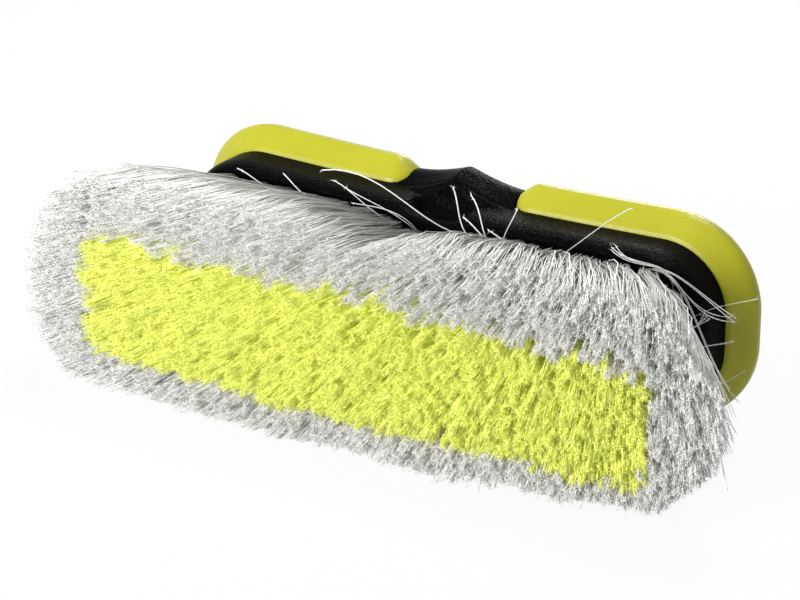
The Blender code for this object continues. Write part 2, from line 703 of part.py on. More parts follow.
def make_strainer(brush):
    """The perforated disc on the stem's end, inside the washer."""
    end = WASHER_START_S + STRAINER_THICK
    disc = brush.add("inlet_strainer", rod("inlet_strainer", WASHER_BORE_R - GAP, WASHER_START_S, end, 28),
                     brush.steel, NECK_FRAME)
    places = [(0.0, 0.0)]
    for step in range(STRAINER_HOLES):
        angle = math.tau * step / STRAINER_HOLES
        places.append((STRAINER_RING_R * math.cos(angle), STRAINER_RING_R * math.sin(angle)))
    for number, (x, y) in enumerate(places):
        frame = NECK_FRAME @ Matrix.Translation((x, y, 0))
        hole = rod("strainer_hole", STRAINER_HOLE_R, WASHER_START_S - 0.001, end + 0.001, 8)
        combine(disc, brush.tool(f"strainer_hole_{number}", hole, frame), "DIFFERENCE")


def slice_boxes():
    """Name, finish key and (low x, high x, low z, high z) of each slice of the backing."""
    far = BODY_HALF_LENGTH
    wide = BODY_HALF_WIDTH
    columns = [("left", -LIME_HALF_LENGTH, -MIDDLE_HALF_LENGTH), ("middle", -MIDDLE_HALF_LENGTH, MIDDLE_HALF_LENGTH),
               ("right", MIDDLE_HALF_LENGTH, LIME_HALF_LENGTH)]
    boxes = [("grey_bristles_left_end", "grey", -far, -LIME_HALF_LENGTH, -wide, wide),
             ("grey_bristles_right_end", "grey", LIME_HALF_LENGTH, far, -wide, wide)]
    for place, low, high in columns:
        boxes.append((f"lime_bristles_{place}", "lime", low, high, -LIME_HALF_WIDTH, LIME_HALF_WIDTH))
        boxes.append((f"grey_bristles_top_{place}", "grey", low, high, LIME_HALF_WIDTH, wide))
        boxes.append((f"grey_bristles_bottom_{place}", "grey", low, high, -wide, -LIME_HALF_WIDTH))
    return boxes


def backing_half_width(x):
    """Half-width of the backing at x, along the straight part of its long sides."""
    inset = RIM_WALL + GAP + SCOOP_CLEARANCE * bell(x, BUMPER_GAP_HALF)
    waist = WAIST * math.cos(math.pi / 2 * min(abs(x) / BODY_HALF_LENGTH, 1.0))
    return (BODY_HALF_WIDTH - inset) * (1 - waist / BODY_HALF_WIDTH)


def holds_root(x, z):
    """Whether a strand at (x, z) stands well inside the backing and clear of the nozzles."""
    edge = RIM_WALL + GAP + STRAND_EDGE
    corner_x = max(abs(x) - (BODY_HALF_LENGTH - BODY_CORNER), 0.0)
    corner_z = max(abs(z) - (BODY_HALF_WIDTH - BODY_CORNER), 0.0)
    in_corner = math.hypot(corner_x, corner_z) < BODY_CORNER - edge - 0.3 * WAIST
    in_side = abs(z) < backing_half_width(x) - STRAND_EDGE
    clear = min(math.hypot(x - NOZZLE_X, z), math.hypot(x + NOZZLE_X, z)) > NOZZLE_R + 2 * STRAND_EDGE - 0.002
    return in_corner and in_side and clear


def strand_roots():
    """Staggered rows of roots, mirrored about the middle of the brush."""
    roots = []
    columns = int(BODY_HALF_LENGTH / STRAND_PITCH_X) + 1
    for row in range(STRAND_ROWS):
        z = (row - (STRAND_ROWS - 1) / 2) * STRAND_ROW_PITCH
        shift = 0.5 * (row % 2)
        for column in range(columns):
            x = (column + shift) * STRAND_PITCH_X
            if holds_root(x, z):
                roots += [(-x, z), (x, z)] if x > 0 else [(x, z)]
    return roots


def strand_tip(x, z):
    """Where a strand ends: fanned out beyond the block's sides, and sagging in the middle."""
    share = z / ROOT_HALF_WIDTH
    top = BODY_HALF_WIDTH + FAN_OUT_TOP
    bottom = -BODY_HALF_WIDTH - FAN_OUT_BOTTOM
    crown = (top + bottom) / 2 + SAG
    tip_z = -SAG + (top - bottom) / 2 * share + crown * share * share
    along = x / (BODY_HALF_LENGTH - RIM_WALL)
    tip_x = x * FAN_LENGTHWISE
    shorter = TRIM_CROWN * max(abs(along) ** 4, share ** 4)
    sway = TUFT_SWAY * math.sin(900 * abs(x) + 700 * z)
    return Vector((tip_x + math.copysign(sway, x), FACE_Y - TRIM_LENGTH + shorter, tip_z))


def add_strand(bm, x, z):
    """One strand of three levels: its root in the backing, its middle and its tip."""
    root = Vector((x, FACE_Y + STRAND_SINK, z))
    tip = strand_tip(x, z)
    straight = (root + tip) / 2
    sag_left = 0.25 * SAG * (1 - abs(z) / (BODY_HALF_WIDTH))
    middle = straight + Vector((0, 0, sag_left))
    levels = ((root, STRAND_ROOT_R), (middle, STRAND_MIDDLE_R), (tip, STRAND_TIP_R))
    rows = []
    for centre, radius in levels:
        row = []
        for side in range(STRAND_SIDES):
            angle = math.tau * (side / STRAND_SIDES) + math.pi / 2
            row.append(bm.verts.new(centre + Vector((radius * math.cos(angle), 0, radius * math.sin(angle)))))
        rows.append(row)
    for lower, upper in zip(rows, rows[1:]):
        for side in range(STRAND_SIDES):
            following = (side + 1) % STRAND_SIDES
            bm.faces.new((lower[side], lower[following], upper[following], upper[side]))
    bm.faces.new(rows[0])
    bm.faces.new(rows[-1])


def make_bristles(brush):
    """Slices of the backing, each with its strands fused to it."""
    roots = strand_roots()
    back = FACE_Y + BACKING_THICK
    half_gap = GAP / 2
    for name, finish, low_x, high_x, low_z, high_z in slice_boxes():
        colour = brush.lime_fibre if finish == "lime" else brush.grey_fibre
        piece = brush.add(name, plate_mesh(name, RIM_WALL + GAP, FACE_Y, back), colour)
        box = block("slice", (low_x + half_gap, FACE_Y - 0.01, low_z + half_gap),
                    (high_x - half_gap, back + 0.01, high_z - half_gap))
        combine(piece, brush.tool(f"slice_{name}", box), "INTERSECT")
        for x in (-NOZZLE_X, NOZZLE_X):
            if finish == "lime" and low_x < x < high_x:
                place = Matrix.Translation((x, 0, 0)) @ AXIS_TO_BACK
                hole = rod("nozzle_way", NOZZLE_R + GAP, FACE_Y - 0.01, back + 0.01, 16)
                combine(piece, brush.tool(f"nozzle_way_{name}", hole, place), "DIFFERENCE")
        bm = bmesh.new()
        for x, z in roots:
            if low_x < x < high_x and low_z < z < high_z:
                add_strand(bm, x, z)
        combine(piece, brush.tool(f"strands_{name}", finished("strands", bm)), "UNION")
    print("strands", len(roots))


def stand_on_origin(brush):
    """Moves the brush so that the middle of its box is over the origin and it stands on Z = 0."""
    bpy.context.view_layer.update()
    depsgraph = bpy.context.evaluated_depsgraph_get()
    corners = []
    for piece in brush.parts.objects:
        if piece.type == "MESH":
            solid = piece.evaluated_get(depsgraph)
            corners += [piece.matrix_world @ vert.co for vert in solid.data.vertices]
    lows = [min(corner[axis] for corner in corners) for axis in range(3)]
    highs = [max(corner[axis] for corner in corners) for axis in range(3)]
    brush.root.location = (-(lows[0] + highs[0]) / 2, -(lows[1] + highs[1]) / 2, -lows[2])
    bpy.context.view_layer.update()


def print_places(brush):
    """Prints the neck's axis and the two flat faces that a hose meets."""
    frame = brush.root.matrix_world @ NECK_FRAME
    print("block middle", tuple(round(value, 6) for value in brush.root.location))
    print("neck axis", tuple(round(value, 6) for value in frame.to_3x3() @ Vector((0, 0, 1))))
    washer_r = (WASHER_BORE_R + STEM_FLANGE_R) / 2
    nut_r = (NUT_SOCKET_R + NUT_OUTER_R - NUT_CHAMFER) / 2
    places = {
        "joint": Vector((0, 0, (NUT_START_S + NUT_END_S) / 2)),
        "hose_seal": Vector((washer_r, 0, WASHER_END_S)),
        "nut_end": Vector((nut_r, 0, NUT_END_S)),
        "socket_middle": Vector((0, 0, (WASHER_END_S + NUT_END_S) / 2)),
    }
    for name, place in places.items():
        print(name, tuple(round(value, 6) for value in frame @ place))


def main():
    clear_scene()
    brush = Brush()
    make_housing(brush)
    make_bumper(brush, "bumper_left", -1)
    make_bumper(brush, "bumper_right", 1)
    make_flow_plate(brush)
    make_gasket(brush)
    make_screws(brush)
    make_nozzles(brush)
    make_stem(brush)
    make_o_rings(brush)
    make_pin(brush)
    make_nut(brush)
    make_washer(brush)
    make_strainer(brush)
    make_bristles(brush)
    stand_on_origin(brush)
    print_places(brush)


main()
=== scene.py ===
"""Looks of the water-fed wash brush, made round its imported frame.

Laid out as an add-on and run as a script. Places are in metres in the frame's own axes: X along the
brush, +Y from the bristles back to the neck, Z up. Shapes are worked out about the middle of the block
and then moved to BLOCK_MIDDLE.
"""

import json
import math

import bpy
import numpy as np
from bpy.props import FloatProperty, FloatVectorProperty, IntProperty, PointerProperty
from mathutils import Matrix, Vector


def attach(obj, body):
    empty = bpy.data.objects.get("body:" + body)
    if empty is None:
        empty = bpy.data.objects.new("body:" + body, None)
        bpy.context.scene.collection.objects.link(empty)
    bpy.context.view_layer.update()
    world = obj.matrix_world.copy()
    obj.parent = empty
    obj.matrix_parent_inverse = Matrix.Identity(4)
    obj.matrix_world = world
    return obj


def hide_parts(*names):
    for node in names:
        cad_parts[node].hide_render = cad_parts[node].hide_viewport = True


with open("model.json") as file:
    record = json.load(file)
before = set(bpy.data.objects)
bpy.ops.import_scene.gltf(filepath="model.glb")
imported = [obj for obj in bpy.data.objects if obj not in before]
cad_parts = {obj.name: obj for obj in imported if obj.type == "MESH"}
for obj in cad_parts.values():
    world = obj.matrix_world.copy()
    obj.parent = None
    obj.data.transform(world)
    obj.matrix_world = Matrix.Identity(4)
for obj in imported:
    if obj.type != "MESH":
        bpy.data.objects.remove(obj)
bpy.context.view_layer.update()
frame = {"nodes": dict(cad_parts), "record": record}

bl_info = {
    "name": "Water-fed wash brush",
    "version": (1, 0, 0),
    "blender": (4, 5, 0),
    "location": "3D View > Sidebar > Wash brush",
    "description": "Block, bumpers, bristles and hose nut of a flow-through wash brush",
    "category": "Object",
}

BLOCK_MIDDLE = np.array((0.0, 0.017377, 0.0525))
NECK_LEAN = math.radians(30.0)
GAP = 0.0003

# Levels along Y and walls of the block
FACE_Y = -0.0300
BULLNOSE = 0.0085
BULLNOSE_INSET = 0.0034
BACKING_THICK = 0.0035
RIM_WALL = 0.0043
CROWN_Y = 0.0120
CHAMBER_TOP_Y = 0.0078
LEDGE_Y = -0.0181
WALL_INNER = 0.0079
CHAMBER_SLOPE = 0.0060

# Bumper section and ends
BUMPER_FRONT_Y = -0.0098
BUMPER_BACK_Y = 0.0085
BUMPER_SEAT = 0.0012
BUMPER_GAP_HALF = 0.0272
BUMPER_SHOULDER_HALF = 0.0360
BUMPER_END_SHARE = 0.46
BUMPER_END_ROUNDING = 0.0070
BUMPER_END_BLUNT = 0.0042
BUMPER_END_STATIONS = (0.0, 0.02, 0.06, 0.12, 0.2, 0.3, 0.4, 0.5, 0.6, 0.7, 0.8, 0.88, 0.94, 0.98, 1.0,
                       1.04, 1.1)

# Hump and scoop at the middle of each long side
HUMP_HALF = 0.0280
SCOOP_HALF = 0.0165
SCOOP_TOP_Y = -0.0130
BROW_Y = -0.0114
SCOOP_CLEARANCE = 0.0060

# Screw wells: their places, radii and depth
WELL_PLACES = ((-0.103, 0.0), (0.103, 0.0), (-0.058, 0.0165), (-0.058, -0.0165), (0.058, 0.0165),
               (0.058, -0.0165))
WELL_R = 0.0043
WELL_FLOOR_Y = -0.0100
POST_R = 0.0058
POST_FRONT_Y = -0.0199
SHANK_R = 0.0021
SHANK_END_Y = -0.0262

# Neck and nut, measured along the neck's axis
NECK_BORE_R = 0.0103
NECK_END_S = 0.0360
NECK_END_R = 0.0145
NECK_FAIRING_S = 0.0240
NECK_FAIRING_R = 0.0161
NECK_FOOT_X = 0.0270
NECK_FOOT_Z = 0.0235
PIN_R = 0.0016
PIN_BESIDE = 0.0092
PIN_S = 0.0318
PIN_HALF = 0.0235
NUT_START_S = 0.0391
NUT_LIP_END_S = 0.0421
NUT_END_S = 0.0590
NUT_LIP_R = 0.0104
NUT_SOCKET_R = 0.0129
NUT_OUTER_R = 0.0165
NUT_EDGE = 0.0012
NUT_LOBES = 12
NUT_LOBE_DEPTH = 0.0010
THREAD_PITCH = 0.0022
THREAD_DEPTH = 0.0006

# Slices of the backing: half sizes of the lime field and its middle slice, and where clumps change over
LIME_HALF_X = 0.0983
LIME_HALF_Z = 0.0174
SLICE_HALF_X = 0.0328
CLUMP_HALF_X = 0.1005

# Fan of the tips: factor on X, what it loses on the left and on the right, and how the corners draw in
FAN = 1.43
FAN_LOSS = (0.015, 0.065)
CORNER_DRAW = 0.150
CORNER_SHIFT = 0.006

# Sway of the tips along X, Y and Z, and factors on it for wild and for loose bristles
TUFT_SWAY = (0.0009, 0.0008, 0.0008)
CLUMP_SWAY = (0.00045, 0.00180, 0.00045)
OWN_SWAY = (0.00040, 0.00050, 0.00040)
EDGE_SWAY = 1.6
UNEVEN_ENDS = 0.0016
WILD_SHARE = 0.012
WILD_SWAY = (5.0, 1.5, 5.0)
LOOSE_SHARE = 0.32
LOOSE_SWAY = (4.0, 1.6, 1.2)
LOOSE_THICKNESS = 1.5

# Root and curve of a bristle
ROOT_Y = FACE_Y + 0.0006
ROOT_RANGE = 0.0070
ROOT_SHARE = (0.62, 0.30)
TUFT_HOLE_R = 0.0013
HANDLE = 0.33
FLOOR_Z = -BLOCK_MIDDLE[2] + 0.0004
STRAND_LEVELS = {"grey": (0.0, 0.22, 0.46, 0.72, 1.0), "lime": (0.0, 0.55, 1.0)}
PIECE_TRIANGLES = 190000

# The photo: its size in pixels, the sensor's width in millimetres, and where the middle of the block shows
PICTURE_WIDTH = 800
PICTURE_HEIGHT = 600
SENSOR_WIDTH = 36.0
BLOCK_SPOT = (467.2, 264.7)

# Loose bristles: where each comes out of the tufts, bends and ends in the photo, its end's level, its radius
STRAY_Y = -0.0370
STRAYS = (
    ((266, 186), (252, 177), (237, 168), -0.0330, 0.00034),
    ((310, 198), (296, 187), (283, 173), -0.0330, 0.00034),
    ((430, 220), (382, 186), (322, 170), -0.0310, 0.00034),
    ((372, 210), (352, 193), (333, 180), -0.0340, 0.00026),
    ((392, 213), (366, 199), (346, 188), -0.0350, 0.00024),
    ((399, 215), (376, 207), (352, 203), -0.0370, 0.00024),
    ((464, 230), (458, 208), (453, 187), -0.0330, 0.00034),
    ((486, 238), (480, 216), (471, 195), -0.0330, 0.00034),
    ((487, 240), (475, 228), (463, 217), -0.0360, 0.00034),
    ((518, 248), (503, 240), (488, 230), -0.0370, 0.00036),
    ((503, 240), (510, 224), (517, 209), -0.0330, 0.00034),
    ((560, 256), (592, 233), (630, 209), -0.0270, 0.00026),
    ((661, 268), (638, 261), (611, 247), -0.0390, 0.00020),
    ((659, 269), (640, 263), (618, 254), -0.0390, 0.00020),
    ((660, 268), (637, 262), (615, 245), -0.0385, 0.00020),
    ((661, 269), (639, 264), (612, 251), -0.0395, 0.00020),
    ((675, 275), (703, 295), (735, 318), -0.0310, 0.00024),
    ((675, 276), (703, 297), (733, 322), -0.0310, 0.00024),
    ((676, 283), (695, 306), (731, 322), -0.0320, 0.00024),
    ((676, 284), (696, 305), (729, 317), -0.0320, 0.00022),
    ((684, 334), (695, 326), (707, 315), -0.0380, 0.00024),
    ((684, 334), (695, 326), (704, 312), -0.0385, 0.00022),
    ((684, 334), (696, 326), (709, 319), -0.0375, 0.00022),
    ((706, 346), (719, 344), (733, 341), -0.0340, 0.00026),
    ((718, 307), (736, 303), (756, 299), -0.0300, 0.00013),
    ((716, 385), (730, 379), (744, 371), -0.0360, 0.00013),
    ((677, 284), (702, 336), (729, 389), -0.0540, 0.00022),
    ((679, 290), (705, 346), (736, 400), -0.0540, 0.00020),
)

# Lamps: place, size and share of the main lamp's power
LAMP_AIM = (0.0, 0.0, 0.04)
LAMPS = {
    "key_lamp": ((-0.50, -1.60, 0.72), 0.9, 1.0),
    "rim_lamp": ((-0.41, 1.26, 0.62), 0.5, 0.16),
    "top_lamp": ((-0.03, 0.52, 1.40), 0.4, 0.28),
}
WHITE = (1.0, 1.0, 1.0, 1.0)


def length_property(name, description, default):
    """A property for a length in metres."""
    return FloatProperty(name=name, description=description, default=default, unit="LENGTH", precision=5)


def colour_property(name, description, default):
    """A property for a colour."""
    return FloatVectorProperty(name=name, description=description, default=default, subtype="COLOR", size=3,
                               min=0.0, max=1.0)


class BlockSizes(bpy.types.PropertyGroup):
    half_length: length_property("Half length", "Half of the block's length", 0.1303)
    half_width: length_property("Half width", "Half of the block's width", 0.0367)
    corner: length_property("Corner", "Radius of the block's corners", 0.0299)
    waist: length_property("Waist", "How far the long sides draw in at the middle", 0.0024)
    hump_rise: length_property("Hump rise", "Height of the hump's ridge over the side", 0.0068)
    scoop_depth: length_property("Scoop depth", "Depth of the scoop under the hump", 0.0078)
    bumper_reach: length_property("Bumper reach", "How far the bumpers stand out", 0.0097)


class BristleSizes(bpy.types.PropertyGroup):
    trim: length_property("Trim", "Length of the bristles in front of the block", 0.0635)
    crown: length_property("Crown", "How much shorter the outer bristles end", 0.0090)
    tuft_pitch: length_property("Tuft pitch", "Spacing of the tufts along a row", 0.0138)
    row_pitch: length_property("Row pitch", "Spacing of the rows of tufts", 0.00445)
    sag: length_property("Sag", "How far the middle of the face hangs below the block's middle", 0.0157)
    fringe_high: length_property("Upper edge", "Height of the upper edge of the face", 0.0442)
    fringe_low: length_property("Lower edge", "Height of the lower edge of the face at the left", -0.0535)
    fringe_rise: length_property("Lower edge rise", "How much higher the lower edge ends on the right",
                                 0.0090)
    pitch: length_property("Bristle pitch", "Spacing of the bristles over the backing", 0.00069)
    clump_pitch: length_property("Clump pitch", "Spacing of the soft clumps of tips", 0.0024)
    crossing: length_property("Crossing", "How far bristles of neighbouring tufts cross", 0.0038)
    fibre_radius: length_property("Fibre radius", "Radius of one bristle", 0.00019)
    split_length: length_property("Split length", "Length of the thin points", 0.0019)
    clump_pull: FloatProperty(name="Clump pull", description="How far the tips draw together in their clump",
                              default=0.25, min=0.0, max=1.0)
    gaps: IntProperty(name="Gaps", description="Small gaps that show between the tips", default=1400, min=0)
    split: IntProperty(name="Split ends", description="Thin points of each bristle", default=7, min=1)
    seed: IntProperty(name="Seed", description="Start of the random scatter", default=7)


class BrushColours(bpy.types.PropertyGroup):
    black: colour_property("Block", "Colour of the block", (0.0013, 0.0013, 0.0015))
    lime: colour_property("Bumpers", "Colour of the bumpers", (0.365, 0.356, 0.013))
    grey_fibre: colour_property("Grey bristles", "Colour of the outer bristles", (0.842, 0.842, 0.818))
    lime_fibre: colour_property("Lime bristles", "Colour of the inner bristles", (0.96, 1.0, 0.24))


class StageSizes(bpy.types.PropertyGroup):
    azimuth: FloatProperty(name="Azimuth", description="Camera's turn round the brush", subtype="ANGLE",
                           default=math.radians(32.45))
    elevation: FloatProperty(name="Elevation", description="Camera's height over the floor, as an angle",
                             subtype="ANGLE", default=math.radians(21.54))
    distance: length_property("Distance", "Camera's distance from the block", 1.1303)
    lens: FloatProperty(name="Lens", description="Camera's focal length in millimetres", default=117.0)
    light: FloatProperty(name="Key light", description="Strength of the main lamp in watts", default=48.0)


def smooth_table(places, values, at):
    """Smooth reading of a short table.

    The cubic pieces between its places have slopes that are the harmonic mean of their neighbours'.
    """
    places, values, at = (np.asarray(item, float) for item in (places, values, at))
    steps = np.diff(values) / np.diff(places)
    before, after = steps[:-1], steps[1:]
    same = before * after > 0
    inner = np.where(same, 2 * before * after / np.where(same, before + after, 1.0), 0.0)
    slopes = np.concatenate(([steps[0]], inner, [steps[-1]]))
    at = np.clip(at, places[0], places[-1])
    index = np.clip(np.searchsorted(places, at, side="right") - 1, 0, len(places) - 2)
    width = (places[1:] - places[:-1])[index]
    t = (at - places[index]) / width
    rise = 3 * t ** 2 - 2 * t ** 3
    return (values[index] * (1 - rise) + values[index + 1] * rise
            + width * (slopes[index] * (t ** 3 - 2 * t ** 2 + t) + slopes[index + 1] * (t ** 3 - t ** 2)))


def step_up(value, start, end):
    """0 before start and 1 after end, with a smooth rise of 3t^2 - 2t^3 in between."""
    t = np.clip((value - start) / (end - start), 0.0, 1.0)
    return t * t * (3 - 2 * t)


def bell(distance, half_width):
    """1 in the middle, falling smoothly to 0 at half_width."""
    share = np.minimum(np.abs(distance) / half_width, 1.0)
    return (1 - share * share) ** 1.5


def mesh_from(name, points, quads, triangles=(), rims=()):
    """A mesh from arrays of points, quads, triangles and a few many-sided caps."""
    parts = [np.asarray(quads, np.int32).reshape(-1, 4), np.asarray(triangles, np.int32).reshape(-1, 3)]
    parts += [np.asarray(rim, np.int32)[None] for rim in rims]
    sizes = np.concatenate([np.full(len(part), part.shape[1], np.int32) for part in parts])
    corners = np.concatenate([part.ravel() for part in parts])
    starts = np.concatenate(([0], np.cumsum(sizes)[:-1])).astype(np.int32)
    mesh = bpy.data.meshes.new(name)
    mesh.vertices.add(len(points))
    mesh.vertices.foreach_set("co", np.asarray(points, np.float32).ravel())
    mesh.loops.add(len(corners))
    mesh.loops.foreach_set("vertex_index", corners)
    mesh.polygons.add(len(sizes))
    mesh.polygons.foreach_set("loop_start", starts)
    mesh.update(calc_edges=True)
    mesh.validate()
    return mesh


def ring_quads(levels, around, closed=False):
    """Quads between successive closed rings, and from the last ring to the first if closed."""
    lower = np.arange(levels if closed else levels - 1)
    upper = (lower + 1) % levels
    here = np.arange(around)
    following = (here + 1) % around
    low, high = lower[:, None] * around, upper[:, None] * around
    return np.stack((low + here, low + following, high + following, high + here), axis=-1).reshape(-1, 4)


def tidy_normals(mesh):
    """Turns a closed mesh's faces outwards by the sign of its volume."""
    mesh.calc_loop_triangles()
    corners = np.empty(len(mesh.vertices) * 3)
    mesh.vertices.foreach_get("co", corners)
    corners = corners.reshape(-1, 3)
    triangles = np.empty(len(mesh.loop_triangles) * 3, np.int32)
    mesh.loop_triangles.foreach_get("vertices", triangles)
    a, b, c = (corners[triangles.reshape(-1, 3)[:, side]] for side in range(3))
    if np.einsum("ij,ij->i", a, np.cross(b, c)).sum() < 0:
        mesh.flip_normals()
    return mesh


def lofted(name, grid, caps=True):
    """A closed skin over a grid of rings, with flat caps or wrapped to its first ring."""
    levels, around = grid.shape[:2]
    first = np.arange(around)
    rims = (first[::-1], first + (levels - 1) * around) if caps else ()
    quads = ring_quads(levels, around, not caps)
    return tidy_normals(mesh_from(name, grid.reshape(-1, 3), quads, rims=rims))


def turned(name, profile, steps=96, lobes=None):
    """A closed profile of radius and height turned round Z, whose radius lobes may change by angle."""
    profile = np.asarray(profile, float)
    angle = np.linspace(0.0, math.tau, steps, endpoint=False)
    radius, height = (np.repeat(profile[:, side, None], steps, axis=1) for side in range(2))
    if lobes is not None:
        radius = lobes(radius, height, angle[None, :])
    grid = np.stack((radius * np.cos(angle), radius * np.sin(angle), height), axis=-1)
    return lofted(name, grid, caps=False)


def rod(name, radius, start, end, steps=48):
    """A round bar along Z from start to end."""
    angle = np.linspace(0.0, math.tau, steps, endpoint=False)
    circle = np.stack((radius * np.cos(angle), radius * np.sin(angle)), axis=-1)
    grid = np.stack([np.column_stack((circle, np.full(steps, height))) for height in (start, end)])
    return lofted(name, grid)


def neck_frame():
    """Turns Z into the neck's axis, which leans down from +Y."""
    return Matrix.Rotation(math.radians(-90) - NECK_LEAN, 4, "X")


def add_piece(name, mesh, finish, replaced=(), body="head", smooth_angle=None):
    """Puts a mesh made about the block's middle into the scene as a piece that rides on a body."""
    mesh.transform(Matrix.Translation(BLOCK_MIDDLE))
    if smooth_angle is not None:
        mesh.shade_smooth()
        mesh.set_sharp_from_angle(angle=math.radians(smooth_angle))
    mesh.materials.clear()
    mesh.materials.append(finish)
    piece = bpy.data.objects.new(name, mesh)
    bpy.context.scene.collection.objects.link(piece)
    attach(piece, body)
    if replaced:
        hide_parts(*replaced)
    return piece


def combined(name, base, tools):
    """The mesh left when meshes are joined to a base mesh or cut from it, each by its named operation."""
    piece = bpy.data.objects.new(name, base)
    bpy.context.scene.collection.objects.link(piece)
    helpers = []
    for index, (mesh, operation) in enumerate(tools):
        helper = bpy.data.objects.new(f"{name}_tool_{index}", mesh)
        bpy.context.scene.collection.objects.link(helper)
        helpers.append(helper)
        step = piece.modifiers.new(helper.name, "BOOLEAN")
        step.operation = operation
        step.solver = "EXACT"
        step.object = helper
    depsgraph = bpy.context.evaluated_depsgraph_get()
    result = bpy.data.meshes.new_from_object(piece.evaluated_get(depsgraph))
    for item in [piece, *helpers]:
        bpy.data.objects.remove(item, do_unlink=True)
    return result


def joined(name, meshes):
    """Several meshes that don't touch, as one mesh."""
    points, quads, rims, start = [], [], [], 0
    for mesh in meshes:
        corners = np.empty(len(mesh.vertices) * 3)
        mesh.vertices.foreach_get("co", corners)
        points.append(corners.reshape(-1, 3))
        for face in mesh.polygons:
            corner_list = np.array(face.vertices) + start
            (quads if len(corner_list) == 4 else rims).append(corner_list)
        start += len(mesh.vertices)
    return mesh_from(name, np.concatenate(points), quads, rims=rims)


def waist_share(x, sizes):
    """Share of its full width that the block has at x: 1 at the ends, less by the waist's cosine between."""
    waist = sizes.waist * np.cos(math.pi / 2 * np.minimum(np.abs(x) / sizes.half_length, 1.0))
    return 1 - waist / sizes.half_width


class Outline:
    """The block's outline: arrays of x, z and outward normal, once round a rounded rectangle."""

    def __init__(self, sizes, stations, corner_steps=22, end_steps=9):
        self.sizes = sizes
        straight_x = sizes.half_length - sizes.corner
        straight_z = sizes.half_width - sizes.corner
        turn = np.linspace(0.0, math.pi / 2, corner_steps + 1)[1:-1]
        down = np.linspace(straight_z, -straight_z, end_steps)
        top = np.stack((stations, np.full_like(stations, sizes.half_width),
                        np.zeros_like(stations), np.ones_like(stations)))
        corner = np.stack((straight_x + sizes.corner * np.sin(turn),
                           straight_z + sizes.corner * np.cos(turn), np.sin(turn), np.cos(turn)))
        side = np.stack((np.full_like(down, sizes.half_length), down,
                         np.ones_like(down), np.zeros_like(down)))
        lower = corner[:, ::-1] * np.array((1, -1, 1, -1))[:, None]
        right = np.concatenate((corner, side, lower), axis=1)
        bottom = top[:, ::-1] * np.array((1, -1, 1, -1))[:, None]
        left = right[:, ::-1] * np.array((-1, 1, -1, 1))[:, None]
        self.x, self.z, self.normal_x, self.normal_z = np.concatenate((top, right, bottom, left), axis=1)

    def pick(self, order):
        """Keeps the points with these numbers, in this order."""
        self.x, self.z, self.normal_x, self.normal_z = (
            item[order] for item in (self.x, self.z, self.normal_x, self.normal_z))

    def placed(self, out, y):
        """Points moved out along the normal, drawn in by the waist, at level y; out and y are grids."""
        x = self.x + out * self.normal_x
        z = (self.z + out * self.normal_z) * waist_share(self.x, self.sizes)
        return np.stack(np.broadcast_arrays(x, y, z), axis=-1)


def long_side_stations(sizes, spacing=0.0011):
    """Places along a long side, with extra ones on both sides of each bumper's end."""
    straight = sizes.half_length - sizes.corner
    even = np.linspace(-straight, straight, int(2 * straight / spacing))
    edges = BUMPER_GAP_HALF + np.array((-0.0004, 0.0, 0.0003, 0.0007))
    return np.unique(np.round(np.concatenate((even, edges, -edges)), 6))


def bumper_reach(y, sizes):
    """The bumper's section: how far it stands out at level y, sloping out and rounding over behind."""
    places = (BUMPER_FRONT_Y, -0.0061, -0.0027, -0.0008, 0.0002, 0.0025, 0.0047, 0.0064, 0.0077,
              BUMPER_BACK_Y)
    shares = (0.07, 0.47, 0.84, 0.965, 1.0, 0.98, 0.88, 0.68, 0.40, 0.10)
    return sizes.bumper_reach * smooth_table(places, shares, y)


def bumper_front(x):
    """Level of the bumper's front edge, which curves back in a quarter ellipse at its open ends."""
    share = np.clip((BUMPER_SHOULDER_HALF - np.abs(x)) / (BUMPER_SHOULDER_HALF - BUMPER_GAP_HALF), 0.0, 1.0)
    return BUMPER_FRONT_Y + BUMPER_END_ROUNDING * (1 - np.sqrt(1 - share * share * 0.999))


def block_wall(y):
    """The block's side: a quarter ellipse at the bristle face, straight, then curving in to the crown."""
    share = np.clip((y - FACE_Y) / BULLNOSE, 0.0, 1.0)
    front = -BULLNOSE_INSET * (1 - np.sqrt(1 - (1 - share) ** 2))
    back = smooth_table((0.0040, 0.0060, 0.0075, 0.0095, 0.0110, CROWN_Y),
                        (0.0, -0.0009, -0.0030, -0.0095, -0.0175, -0.0270), y)
    return front + back


